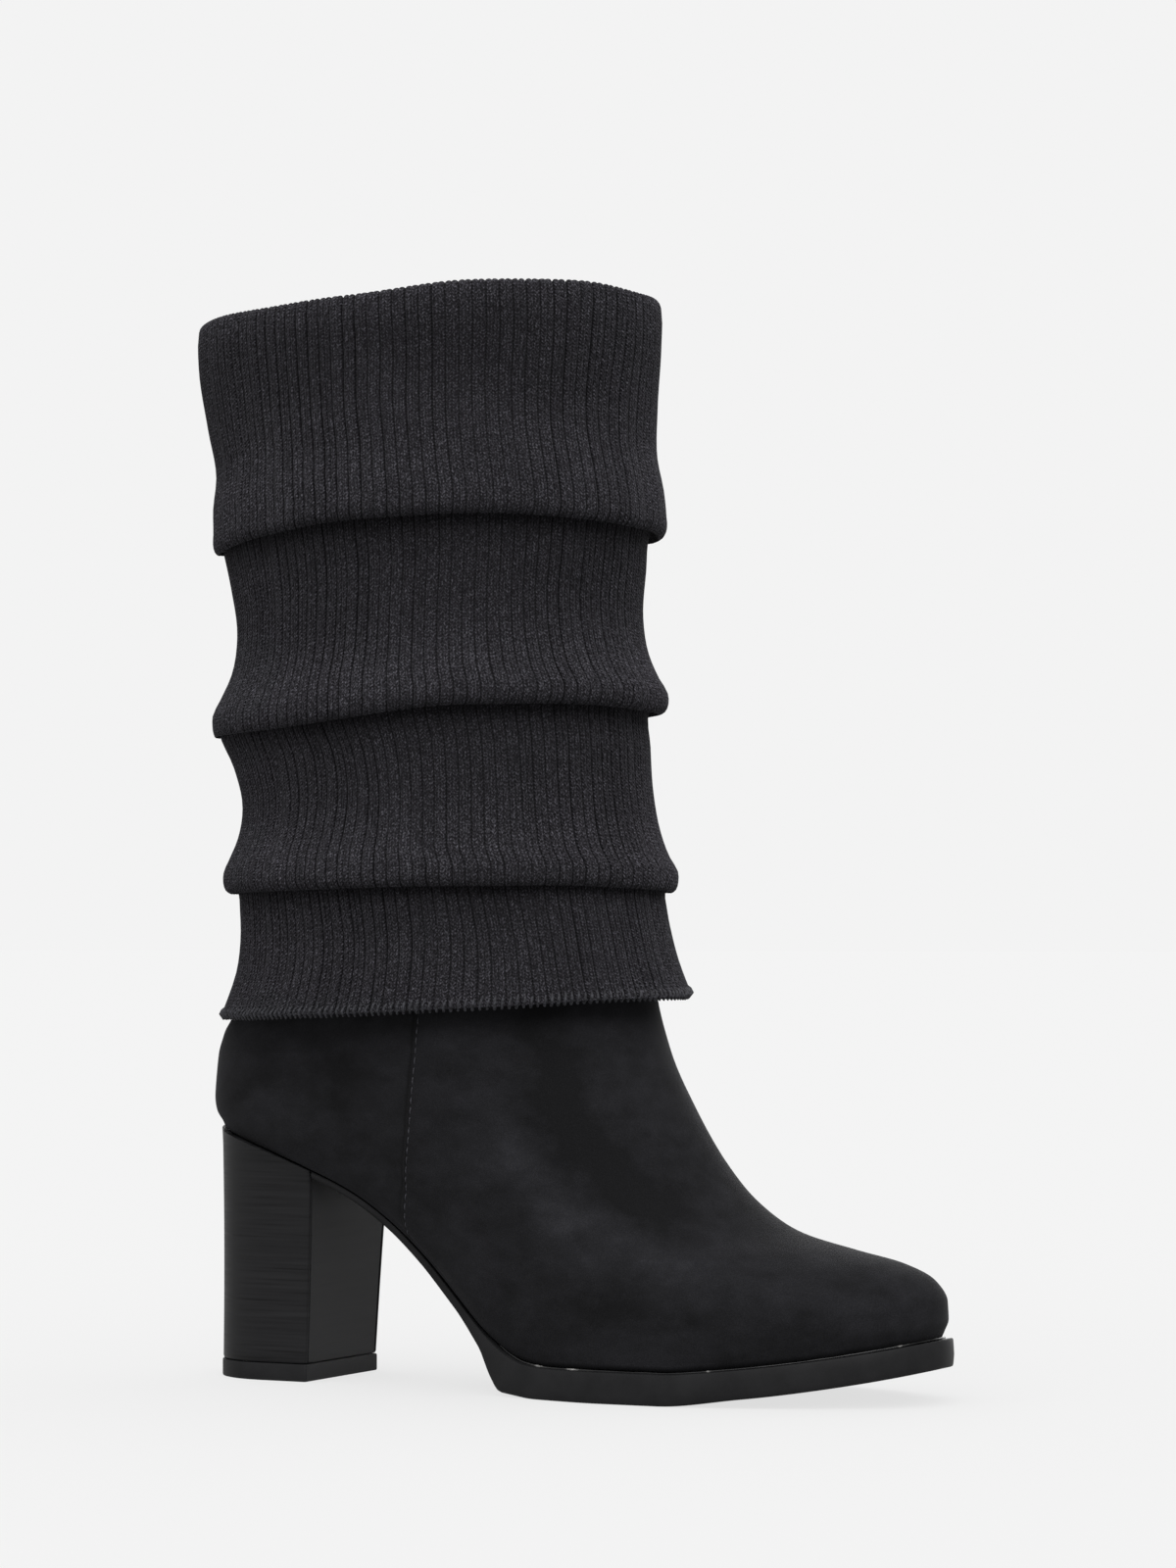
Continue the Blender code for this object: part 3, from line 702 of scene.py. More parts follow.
@dataclass(frozen=True)
class Last:
    """The foot's form, with the CAD source's sizes."""

    length: float = 0.2395
    seat: float = 0.052
    waist: float = 0.046
    ball: float = 0.077
    toe: float = 0.054
    body: float = 0.079
    toe_swing: float = 0.005
    swing_start: float = 0.45
    heel_height: float = 0.078
    toe_spring: float = 0.0095
    collar_height: float = 0.158
    collar_width: float = 0.080
    sole_thickness: float = 0.0092
    heel_inset: float = 0.0028
    tip_depth: float = 0.0383

    @property
    def plan(self) -> tuple[Plan, ...]:
        """The foot seen from above."""
        return (
            Plan(0.00, self.seat, 0.47, 0.47, 0.34),
            Plan(0.12, self.seat, 0.49, 0.49, 0.37),
            Plan(0.25, self.seat, 0.48, 0.45, 0.40),
            Plan(0.38, self.waist, 0.55, 0.42, 0.43),
            Plan(0.46, self.waist, 0.64, 0.45, 0.455),
            Plan(0.54, self.ball, 0.455, 0.345, 0.48),
            Plan(0.62, self.ball, 0.50, 0.43, 0.50),
            Plan(0.70, self.ball, 0.495, 0.485, 0.50),
            Plan(0.78, self.ball, 0.455, 0.480, 0.475),
            Plan(0.86, self.toe, 0.57, 0.63, 0.425),
            Plan(0.93, self.toe, 0.50, 0.555, 0.375),
            Plan(1.00, self.toe, 0.46, 0.50, 0.34),
        )

    TREAD = (
        Tread(0.00, 1.000, 0.00, 0.26, -0.70),
        Tread(0.09, 0.915, 0.00, 0.26, -0.70),
        Tread(0.18, 0.805, 0.00, 0.26, -0.70),
        Tread(0.25, 0.700, 0.00, 0.26, -0.60),
        Tread(0.30, 0.590, 0.00, 0.26, -0.50),
        Tread(0.35, 0.445, 0.00, 0.27, -0.30),
        Tread(0.40, 0.270, 0.00, 0.31, -0.10),
        Tread(0.437, 0.1497, 0.00, 0.50, 0.20),
        Tread(0.459, 0.0934, 0.00, 0.98, 0.55),
        Tread(0.479, 0.0528, 0.00, 1.28, 0.85),
        Tread(0.508, 0.0155, 0.00, 1.12, 1.00),
        Tread(0.548, 0.000, 0.00, 1.00, 1.00),
        Tread(0.62, 0.000, 0.00, 1.00, 1.00),
        Tread(0.70, 0.000, 0.00, 1.00, 1.00),
        Tread(0.80, 0.000, 0.20, 0.93, 1.00),
        Tread(0.89, 0.000, 0.50, 0.92, 1.00),
        Tread(0.96, 0.000, 0.80, 0.91, 1.00),
        Tread(1.00, 0.000, 1.00, 0.90, 1.00),
    )

    LINES = (
        Line(0.020, 0.0095, 0.990, 0.012, 0.00, 0.00, 0.25, 9.0, 6.6),
        Line(0.060, 0.0015, 0.996, 0.040, 0.01, 0.00, 0.60, 9.0, 6.4),
        Line(0.120, -0.0015, 0.995, 0.078, 0.03, 0.02, 0.90, 8.0, 6.0),
        Line(0.200, -0.0010, 0.979, 0.120, 0.08, 0.05, 1.00, 6.6, 5.2),
        Line(0.275, 0.0000, 0.940, 0.152, 0.15, 0.10, 1.00, 5.2, 4.3),
        Line(0.345, 0.0060, 0.877, 0.177, 0.22, 0.17, 1.00, 4.2, 3.5),
        Line(0.410, 0.0195, 0.804, 0.210, 0.30, 0.26, 1.00, 3.4, 3.0),
        Line(0.480, 0.0330, 0.748, 0.270, 0.40, 0.38, 1.00, 2.8, 2.6),
        Line(0.550, 0.0460, 0.706, 0.350, 0.50, 0.52, 1.00, 2.4, 2.3),
        Line(0.650, 0.0570, 0.662, 0.470, 0.65, 0.72, 1.00, 2.2, 2.15),
        Line(0.760, 0.0600, 0.628, 0.592, 0.80, 0.86, 1.00, 2.1, 2.05),
        Line(0.880, 0.0600, 0.606, 0.750, 0.92, 0.95, 1.00, 2.05, 2.0),
        Line(1.000, 0.0600, 0.598, 1.000, 1.00, 1.00, 1.00, 2.0, 2.0),
    )

    def station_x(self, station: Array) -> Array:
        """A station's place along X; the heel tip's middle is at X = 0."""
        return station * self.length - self.heel_inset - self.tip_depth / 2

    def x_station(self, x: Array) -> Array:
        """The station of a place along X."""
        return (x + self.heel_inset + self.tip_depth / 2) / self.length

    def swing(self, station: Array) -> Array:
        """How far the foot's middle line has swung to the inner side."""
        share = (station - self.swing_start) / (1 - self.swing_start)
        return self.toe_swing * np.clip(share, 0.0, 1.2) ** 2

    def tread(self, station: Array, column: str) -> Array:
        """A column of the tread table at a station."""
        ys = [getattr(row, column) for row in self.TREAD]
        return monotone([row.station for row in self.TREAD], ys, np.clip(station, 0.0, 1.0))

    def feather_z(self, station: Array) -> Array:
        """Height of the suede's flat underside."""
        lift = self.tread(station, "lift") * (self.heel_height - self.sole_thickness)
        return self.sole_thickness + lift + self.tread(station, "spring") * self.toe_spring

    def steepness(self, station: Array) -> Array:
        """How much longer the underside is than its plan, where it slopes."""
        step = 0.004
        rise = self.feather_z(station + step) - self.feather_z(station - step)
        return np.sqrt(1 + (rise / (2 * step * self.length)) ** 2)

    def plan_half(self, station: Array, outer: Array, body: float) -> Array:
        """Half width of the foot before its ends are rounded.

        Args:
            station: where along the foot.
            outer: whether each place is on the outer side.
            body: how far the width has become the side wall's.

        Returns:
            The half widths.
        """
        station = np.clip(station, 0.0, 1.0)
        places = [row.station for row in self.plan]
        outside = monotone(places, [row.width * row.outer for row in self.plan], station)
        inside = monotone(places, [row.width * row.inner for row in self.plan], station)
        edge = np.where(outer, outside, inside)
        wall = monotone(places, [row.full for row in self.plan], station) * self.body
        return edge * (1 - body) + np.maximum(edge, wall) * body

    @staticmethod
    def round_end(t: Array, heel_blunt: float, toe_blunt: float) -> Array:
        """Share of the full width at t, from 0 at the back to 1 at the front of a line."""
        blunt = np.where(t < 0.5, heel_blunt, toe_blunt)
        return np.sqrt(np.clip(1 - np.abs(2 * t - 1) ** blunt, 0.0, 1.0))

    def edge_plan(self, share: Array, outer: Array) -> Array:
        """The suede's lower edge seen from above, at shares of the way from back to front."""
        first = self.LINES[0]
        station = first.back + share * (first.front - first.back)
        half = self.plan_half(station, outer, first.body)
        half = half * self.round_end(share, first.heel_blunt, first.toe_blunt)
        y = self.swing(station) + np.where(outer, -1, 1) * half
        return np.stack([self.station_x(station), y], 1)

    def edge_loop(self, share: Array, outer: Array, grow: float, raise_by: float) -> Array:
        """The suede's lower edge moved outwards and up, square to the foot's slope."""
        plan = offset(self.edge_plan(share, outer), grow)
        station = self.x_station(plan[:, 0])
        z = self.feather_z(station) + raise_by * self.steepness(station)
        return np.column_stack([plan, z])

    def line(self, place: float) -> Line:
        """The line round the suede at a share of the way from its edge to the collar."""
        rows = np.linspace(0.0, 1.0, len(self.LINES))
        return Line(*monotone(rows, np.array(self.LINES), place))

    def upper_loop(self, line: Line, share: Array, outer: Array) -> Array:
        """The suede's outside along a line round the foot."""
        station = line.back + share * (line.front - line.back)
        foot = self.plan_half(station, outer, line.body)
        half = foot * (1 - line.leg) + self.collar_width / 2 * line.leg
        half = half * self.round_end(share, line.heel_blunt, line.toe_blunt)
        y = self.swing(station) + np.where(outer, -1, 1) * half
        toe_z = self.feather_z(1.0)
        back_z = self.heel_height + line.rise * (self.collar_height - self.heel_height)
        front_z = toe_z + line.top * (self.collar_height - toe_z)
        bend = self.feather_z(share) - (self.heel_height * (1 - share) + toe_z * share)
        z = back_z * (1 - share) + front_z * share + bend * (1 - line.level)
        return np.stack([self.station_x(station), y, z], axis=1)


def offset(plan: Array, amount: Array | float, closed: bool = True) -> Array:
    """A line seen from above, moved outwards by an amount at each point."""
    ahead, behind = np.roll(plan, -1, axis=0), np.roll(plan, 1, axis=0)
    if not closed:
        ahead[-1], behind[0] = plan[-1], plan[0]
    run = ahead - behind
    normal = np.stack([run[:, 1], -run[:, 0]], axis=1)
    normal /= np.linalg.norm(normal, axis=1)[:, None]
    return plan + normal * np.reshape(amount, (-1, 1))


# ---------------------------------------------------------------- the suede foot


class Crease(NamedTuple):
    """A soft trough or ridge in the suede, in millimetres on the side view."""

    x: float
    z: float
    along: float
    across: float
    turn: float
    depth: float


class Patch(NamedTuple):
    """A fixed patch on the side view, in mm: a painted highlight, painted shade or a pile mark."""

    x: float
    z: float
    wide: float
    tall: float
    turn: float
    level: float


@dataclass
class SuedeFoot:
    """The suede foot: one wall with a lapped seam on each side, and its stitches."""

    last: Last
    suede: bpy.types.Material
    thread: bpy.types.Material
    half_points: int = 170
    rings: int = 96
    wall: float = 2 * MM
    margin: float = 8 * MM
    feather_round: float = 3 * MM
    lap_height: float = 0.45 * MM
    lap_fade: float = 14 * MM
    stitch_inset: float = 1.3 * MM
    stitch_pitch: float = 3.0 * MM
    stitch_length: float = 2.2 * MM
    thread_radius: float = 0.23 * MM

    # the stitch line's place along X at heights over the floor, in mm
    SEAM = ((40, 57.8), (60, 60.4), (80, 63.4), (105, 66.6), (118, 68.2), (160, 70.0))

    CREASES = (
        Crease(-3, 108, 16, 3.2, 18, 0.55),
        Crease(8, 98, 18, 3.0, -12, 0.45),
        Crease(2, 88, 12, 2.6, 30, 0.35),
        Crease(20, 107, 14, 3.0, 35, 0.35),
        Crease(70, 96, 20, 3.5, -38, 0.40),
        Crease(94, 86, 18, 4.0, -52, 0.50),
        Crease(104, 98, 16, 3.5, -60, 0.40),
        Crease(112, 64, 20, 4.5, -48, 0.45),
        Crease(134, 48, 22, 4.5, -28, 0.40),
        Crease(150, 34, 16, 4.0, -14, 0.35),
        Crease(60, 60, 24, 5.0, -25, 0.30),
    )

    # painted highlights along the instep and toe, painted shade in the throat's creases, and other
    # lighter and darker places
    PATCHES = (
        Patch(92, 78, 12, 30, 20, 0.05),
        Patch(106, 62, 30, 6, -52, 0.09),
        Patch(140, 42, 32, 6, -30, 0.11),
        Patch(182, 32, 30, 7, -16, 0.10),
        Patch(75, 104, 14, 9, 20, 0.10),
        Patch(108, 96, 7, 26, 18, -0.22),
        Patch(126, 68, 6, 20, 38, -0.24),
        Patch(142, 54, 5, 12, 50, -0.12),
        Patch(0, 108, 12, 6, 25, 0.14),
        Patch(18, 100, 10, 5, -30, 0.12),
        Patch(6, 92, 16, 5, 20, -0.12),
        Patch(40, 88, 9, 18, 0, -0.08),
        Patch(160, 24, 50, 5, -4, -0.10),
    )

    def seam_x(self, z: Array) -> Array:
        """The stitch line's place along X at a height."""
        return monotone([a * MM for a, _ in self.SEAM], [b * MM for _, b in self.SEAM], z)

    def shares(self, line: Line | None) -> tuple[Array, Array]:
        """Points round a loop, close together at the seams.

        Args:
            line: the line round the suede, or None under the foot.

        Returns:
            Their shares of the way from back to front, and whether they're on the outer side.
        """
        seam, last = 0.28, self.last
        if line is not None:
            for _ in range(6):
                point = last.upper_loop(line, np.array([seam]), np.array([True]))[0]
                station = last.x_station(self.seam_x(point[2]) - self.stitch_inset)
                seam = float((station - line.back) / (line.front - line.back))
        middle = math.acos(1 - 2 * min(max(seam, 0.02), 0.98))
        grid = np.linspace(0.0, math.pi, 4001)
        crowd = 1.0 + 5.0 * np.exp(-(((grid - middle - 0.01) / 0.028) ** 2))
        run = np.concatenate([[0.0], np.cumsum((crowd[1:] + crowd[:-1]) / 2)])
        way = np.interp(np.linspace(0, 1, self.half_points + 1), run / run[-1], grid)
        share = (1 - np.cos(way)) / 2
        outer = np.arange(2 * self.half_points) <= self.half_points
        return np.concatenate([share, share[-2:0:-1]]), outer

    def blobs(self, rows: tuple, points: Array) -> Array:
        """The sum of soft blobs on the side view.

        Args:
            rows: creases or patches.
            points: where it is read.

        Returns:
            One number for each point.
        """
        total = np.zeros(points.shape[:-1])
        for x, z, wide, tall, turn, amount in rows:
            dx, dz = points[..., 0] - x * MM, points[..., 2] - z * MM
            cos, sin = math.cos(math.radians(turn)), math.sin(math.radians(turn))
            along, across = dx * cos + dz * sin, dz * cos - dx * sin
            total += amount * np.exp(-((along / (wide * MM)) ** 2) - (across / (tall * MM)) ** 2)
        return total

    def build(self) -> None:
        """Makes the suede's wall and its two rows of stitches."""
        last = self.last
        rows, edges = [], []
        share, outer = self.shares(last.line(0.0))
        turn = self.feather_round
        for inset, up in ((self.margin, 0.0), (turn, 0.0), (turn / 4, turn / 5)):
            rows.append(last.edge_loop(share, outer, -inset, up))
            edges.append(0.0)
        for place in np.linspace(0.0, 1.0, self.rings):
            line = last.line(float(place))
            share, outer = self.shares(line)
            rows.append(last.upper_loop(line, share, outer))
            edges.append(min(1.0, place * 12))
        base = np.array(rows)
        normal = ring_normals(base)
        if normal[len(normal) // 2, self.half_points // 2, 1] > 0:
            normal = -normal
        shown = np.array(edges)[:, None]
        ahead = base[..., 0] - self.seam_x(base[..., 2]) + self.stitch_inset
        lap = smoothstep(ahead / (0.5 * MM)) * (1 - smoothstep(ahead / self.lap_fade))
        pinch = np.exp(-(((ahead - self.stitch_inset) / (0.55 * MM)) ** 2))
        push = self.lap_height * lap - 0.16 * MM * pinch
        push = push - self.blobs(self.CREASES, base) * MM
        front = base + normal * (push * shown)[..., None]
        back = (base - normal * self.wall)[::3][::-1]
        wall = surface("suede_foot", np.concatenate([front, back]), self.suede, joined=True)
        # the patches, and painted shade in a thin line at the lapped seam's edge
        nap_and_painted_shading = self.blobs(self.PATCHES, front) - 0.25 * np.exp(-((ahead / (0.8 * MM)) ** 2))
        give(wall, "nap_and_painted_shading", np.concatenate([nap_and_painted_shading, nap_and_painted_shading[::3][::-1]]))
        settle(wall, Slot.SUEDE, "upper")
        for side in Side:
            self.stitches(front[3:], normal[3:], side)

    def stitches(self, front: Array, normal: Array, side: Side) -> None:
        """The row of stitches along one seam.

        Args:
            front: the suede's outside.
            normal: its normals.
            side: which side of the foot.
        """
        half = self.half_points
        span = slice(0, half + 1) if side is Side.OUTER else slice(half, None)
        path, up = [], []
        for ring, out in zip(front[:, span], normal[:, span]):
            middle = slice(len(ring) // 8, -(len(ring) // 8))
            gap = ring[middle, 0] - self.seam_x(ring[middle, 2])
            k = int(np.argmin(np.abs(gap)))
            path.append(ring[middle][k])
            up.append(out[middle][k])
        path, up = np.array(path), np.array(up)
        path[:, 0] = self.seam_x(path[:, 2])
        run = np.concatenate([[0.0], np.cumsum(np.linalg.norm(np.diff(path, axis=0), axis=1))])
        threads, sizes = [], []
        start = 2.0 * MM
        while start + self.stitch_length < run[-1] - 30 * MM:
            at = start + self.stitch_length * np.linspace(0, 1, 7)
            line = np.stack([np.interp(at, run, path[:, i]) for i in range(3)], axis=1)
            lift = np.stack([np.interp(at, run, up[:, i]) for i in range(3)], axis=1)
            arch = np.sin(np.linspace(0, math.pi, 7))
            threads.append(line + lift * ((arch * 0.26 - 0.14) * MM)[:, None])
            sizes.append(self.thread_radius * (0.55 + 0.45 * arch))
            start += self.stitch_pitch
        row = tubes(f"seam_stitches_{side.name.lower()}", threads, sizes, self.thread)
        settle(row, Slot.SUEDE)


# ---------------------------------------------------------------- the knit shaft


class Leg(NamedTuple):
    """The leg under the folds."""

    height: float
    back: float
    front: float
    wide: float


class Fold(NamedTuple):
    """A slouch fold, the rim or the hem."""

    lip: float
    reach_back: float
    reach_front: float
    reach_side: float
    top_back: float
    top_front: float


class Drop(NamedTuple):
    """How far each line hangs at an angle round the shaft, as shares of a fold's roll."""

    angle: float
    hem: float
    third: float
    second: float
    first: float
    rim: float


class Stop(NamedTuple):
    """A ring of a tier: how far down, and its shares of the push above it and of its own."""

    drop: float
    above: float
    out: float


class Roll(NamedTuple):
    """A ring of a rolled lip or rim."""

    rise: float
    out: float


class Trough(NamedTuple):
    """A soft trough in the knit: angle and lean in degrees, the rest in millimetres."""

    angle: float
    z: float
    wide: float
    tall: float
    lean: float
    depth: float


@dataclass
class KnitShaft:
    """The rib-knit shaft: three rolled slouch folds and a free hem."""

    last: Last
    knit: bpy.types.Material
    thread: bpy.types.Material
    height: float = 0.330
    hem: float = 0.115
    width: float = 0.092
    wall: float = 3.2 * MM
    skirt_wall: float = 1.6 * MM
    fold_reach: float = 6.0 * MM
    fold_roll: float = 6.2 * MM
    fold_tuck: float = 3.2 * MM
    skirt_ease: float = 1.2 * MM
    fit_gap: float = 0.3 * MM
    upper_wall: float = 2 * MM
    rib_pairs: int = 98
    course: float = 1.05 * MM
    furrow: float = 0.80 * MM
    ring_step: float = 3.0 * MM

    # a rib pair's relief, as shares of the furrow's depth: a deep furrow, a rib, a fine one, a rib
    RIB = (-1.0, -0.22, 0.0, -0.06, -0.50, -0.06, 0.0, -0.22)

    LEG = (
        Leg(0.00, 0.039, 0.622, 0.490),
        Leg(0.08, 0.050, 0.622, 0.490),
        Leg(0.28, 0.045, 0.604, 0.502),
        Leg(0.53, 0.038, 0.587, 0.507),
        Leg(0.77, 0.0155, 0.598, 0.535),
        Leg(0.93, -0.021, 0.612, 0.560),
        Leg(1.00, -0.021, 0.612, 0.562),
    )
    FOLDS = (
        Fold(0.675, 0.95, 1.05, 0.85, 0.50, 0.20),
        Fold(0.413, 1.60, 1.15, 0.85, 1.35, 0.20),
        Fold(0.163, 1.25, 0.75, 0.80, 0.50, 0.10),
    )
    RIM = Fold(1.000, 0.00, 0.00, 0.00, 0.00, 0.00)
    HEM = Fold(0.000, 1.10, 1.35, 0.50, 0.00, 0.00)
    DROPS = (
        Drop(0, 0.65, 0.25, 1.12, 1.05, 0.87),
        Drop(30, 0.70, 0.27, 1.17, 1.20, 0.95),
        Drop(60, 0.56, 0.25, 1.07, 0.72, 0.88),
        Drop(90, 0.38, 0.13, 0.59, 0.26, 0.65),
        Drop(120, 0.04, 0.04, 0.08, 0.10, 0.17),
        Drop(150, -0.29, 0.06, 0.10, 0.29, 0.12),
        Drop(180, -0.38, 0.18, 0.30, 0.64, 0.42),
        Drop(210, -0.55, 0.30, 0.28, 0.78, 0.47),
        Drop(240, -0.20, 0.25, 0.35, 0.50, 0.22),
        Drop(270, 0.20, 0.15, 0.25, 0.25, 0.00),
        Drop(300, 0.45, 0.15, 0.45, 0.40, 0.10),
        Drop(330, 0.60, 0.20, 0.90, 0.85, 0.50),
    )
    TIER = (
        Stop(0.18, 0.36, 0.0),
        Stop(0.45, 0.0, 0.0),
        Stop(0.66, 0.0, 0.26),
        Stop(0.80, 0.0, 0.70),
    )
    SKIRT = (
        Stop(0.15, 0.72, 0.03),
        Stop(0.40, 0.36, 0.19),
        Stop(0.65, 0.12, 0.46),
        Stop(0.85, 0.02, 0.75),
        Stop(1.00, 0.00, 1.00),
    )
    LIP = (Roll(1.05, 0.97), Roll(0.55, 1.0), Roll(0.16, 0.82), Roll(0.0, 0.48))
    RIM_ROLL = (Roll(-0.35, 0.12), Roll(0.0, 0.50), Roll(-0.35, 0.88), Roll(-1.0, 1.0))

    TROUGHS = (
        Trough(112, 303, 26, 9, -14, 1.5),
        Trough(150, 292, 18, 8, 10, 0.7),
        Trough(60, 300, 16, 12, 0, 0.8),
        Trough(80, 285, 20, 7, 16, -0.8),
        Trough(125, 283, 26, 8, -8, -0.9),
        Trough(100, 246, 26, 8, 12, 0.9),
        Trough(140, 240, 22, 7, -10, 0.6),
        Trough(70, 232, 18, 7, 10, -0.6),
        Trough(120, 196, 24, 8, 8, 0.8),
        Trough(75, 190, 18, 8, -10, 0.7),
        Trough(120, 172, 22, 6, 4, -0.5),
        Trough(100, 134, 26, 7, 4, 0.5),
        Trough(290, 300, 26, 10, 10, 1.2),
        Trough(250, 240, 24, 8, -8, 0.9),
        Trough(280, 190, 24, 8, 8, 0.8),
    )

    def angles(self) -> Array:
        """Angles round the shaft that space the ribs evenly; 0 is the back, going outwards."""
        grid = np.linspace(0.0, 2 * math.pi, 7201)
        speed = np.hypot(66 * np.sin(grid), 47 * np.cos(grid))
        run = np.concatenate([[0.0], np.cumsum((speed[1:] + speed[:-1]) / 2)])
        count = self.rib_pairs * len(self.RIB)
        return np.interp(np.arange(count) / count, run / run[-1], grid)

    def dip(self, height: float, angle: Array) -> Array:
        """How far the knit drops at a height, following the nearest folds."""
        table = np.array(self.DROPS, dtype=float)
        before, after = table[-1:].copy(), table[:2].copy()
        before[:, 0] -= 360
        after[:, 0] += 360
        table = np.concatenate([before, table, after])
        turned = np.degrees(angle) % 360
        lines = [monotone(table[:, 0], column, turned) for column in table[:, 1:].T]
        lines = [line + 0.05 * ripple(angle * 2, 11 + i) for i, line in enumerate(lines)]
        heights = [row.lip for row in (self.HEM, *reversed(self.FOLDS), self.RIM)]
        return self.fold_roll * monotone(heights, np.array(lines), height)

    def ring(
        self, height: float, out: tuple, angle: Array, rise: float = 0.0, inward: float = 0.0
    ) -> Array:
        """A ring of the knit.

        Args:
            height: its share of the way from hem to rim.
            out: the push at back, front and sides, as shares of a fold's reach.
            angle: the angles of its points.
            rise: how far it is over that height.
            inward: how far it is inside the outer face.

        Returns:
            Its points.
        """
        push = [self.fold_reach * amount - inward for amount in out]
        places = [row.height for row in self.LEG]
        columns = list(zip(*self.LEG))[1:]
        back, front, wide = (monotone(places, column, height) for column in columns)
        back = self.last.station_x(back) - push[0]
        front = self.last.station_x(front) + push[1]
        half = wide * self.width + push[2]
        wander = 0.012 * ripple(angle * 2 + height * 5, 3) + 0.008 * math.sin(height * 21)
        turned = angle + wander
        x = (back + front) / 2 - (front - back) / 2 * np.cos(turned)
        z = self.hem + height * (self.height - self.hem) + rise - self.dip(height, turned)
        return np.stack([x, -half * np.sin(turned), z], axis=1)

    @staticmethod
    def blend(first: tuple, share: float, second: tuple, other: float) -> tuple:
        """Sum of shares of two pushes."""
        return tuple(a * share + b * other for a, b in zip(first, second))

    def tier(
        self, stops: tuple, above: Fold, fold: Fold, angle: Array, inward: float = 0.0
    ) -> list[Array]:
        """A tier of the knit, from under the fold above it towards its own lip."""
        under = (above.top_back, above.top_front, 0.0)
        reach = (fold.reach_back, fold.reach_front, fold.reach_side)
        made = []
        for stop in stops:
            height = above.lip + (fold.lip - above.lip) * stop.drop
            out = self.blend(under, stop.above, reach, stop.out)
            made.append(self.ring(height, out, angle, inward=inward))
        return made

    def lip(self, fold: Fold, angle: Array) -> list[Array]:
        """The rolled lip of a fold and the tuck behind it."""
        under = (fold.top_back, fold.top_front, 0.0)
        reach = (fold.reach_back, fold.reach_front, fold.reach_side)
        made = []
        for roll in self.LIP:
            out = self.blend(under, 1 - roll.out, reach, roll.out)
            made.append(self.ring(fold.lip, out, angle, rise=roll.rise * self.fold_roll))
        out = self.blend(under, 0.90, reach, 0.10)
        made.append(self.ring(fold.lip, out, angle, rise=self.fold_tuck))
        made.append(self.ring(fold.lip, under, angle, rise=self.fold_tuck * 0.55))
        return made

    def outside(self, angle: Array) -> tuple[Array, Array, Array]:
        """The knit's outer face from inside the rim to the hem.

        Args:
            angle: the angles of its points.

        Returns:
            Its rings, how strongly the ribs show on each, and the painted light and shade of the
            knit there, which is matched to the photograph.
        """
        level = (0.0, 0.0, 0.0)
        rings = [
            self.ring(1.0, level, angle, rise=r.rise * self.wall, inward=(1 - r.out) * self.wall)
            for r in self.RIM_ROLL
        ]
        shown = [0.6, 0.7, 1.0, 1.0]
        # painted light and shade per ring: paler over the rim and the lips, darker under them and
        # in the tucks
        pale = [0.9, 1.1, 1.3, 1.15]
        above = self.RIM
        for fold in self.FOLDS:
            rings += self.tier(self.TIER, above, fold, angle) + self.lip(fold, angle)
            shown += [1.0] * 4 + [1.0, 1.0, 0.9, 0.6, 0.2, 0.4]
            pale += [0.80, 0.85, 1.12, 1.25] + [1.15, 1.10, 0.95, 0.70, 0.4, 0.4]
            above = fold
        rings += self.tier(self.SKIRT, above, self.HEM, angle)
        shown += [1.0] * 4 + [0.7]
        pale += [0.80, 0.88, 0.92, 0.95, 1.05]
        rings = np.array(rings)
        gap = np.linalg.norm(np.diff(rings, axis=0), axis=2).mean(axis=1)
        steps = [max(1, min(12, round(g / self.ring_step))) for g in gap]
        steps = [max(s, 2) if g > 0.9 * MM else s for s, g in zip(steps, gap)]
        return flowing(rings, steps), self.spread(shown, steps), self.spread(pale, steps)

    @staticmethod
    def spread(values: list[float], steps: list[int]) -> Array:
        """A value for each ring of a smooth surface, from those of the rings it runs through."""
        gaps = zip(values, values[1:], steps)
        parts = [np.linspace(start, end, count, endpoint=False) for start, end, count in gaps]
        return np.concatenate(parts + [values[-1:]])

    def troughs(self, angle: Array, z: Array) -> Array:
        """How deep the soft troughs are at each angle and height."""
        total = np.zeros_like(z)
        for t in self.TROUGHS:
            turn = (np.degrees(angle) - t.angle + 180) % 360 - 180
            along = turn * 1.05 * MM
            up = z - t.z * MM - along * math.tan(math.radians(t.lean))
            away = (along / (t.wide * MM)) ** 2 + (up / (t.tall * MM)) ** 2
            total += t.depth * MM * np.exp(-away)
        return total

    def relief(self, rings: Array, strength: Array) -> Array:
        """The ribs' height at each point, with furrows of uneven depth."""
        rng = np.random.default_rng(5)
        shares = np.tile(np.array(self.RIB), self.rib_pairs)
        weights = np.ones(len(shares))
        size = len(self.RIB)
        deep = np.clip(rng.normal(1.0, 0.28, self.rib_pairs), 0.55, 1.7)
        fine = np.clip(rng.normal(1.0, 0.30, self.rib_pairs), 0.4, 1.6)
        for i in range(self.rib_pairs):
            weights[i * size] = deep[i]
            weights[i * size + size // 2] = fine[i]
        along = np.linspace(0, 2 * math.pi, len(rings))[:, None]
        sway = 1 + 0.25 * np.sin(along * 3 + rng.uniform(0, 6.3, len(shares) // size).repeat(size))
        return self.furrow * shares * weights * sway * strength[:, None]

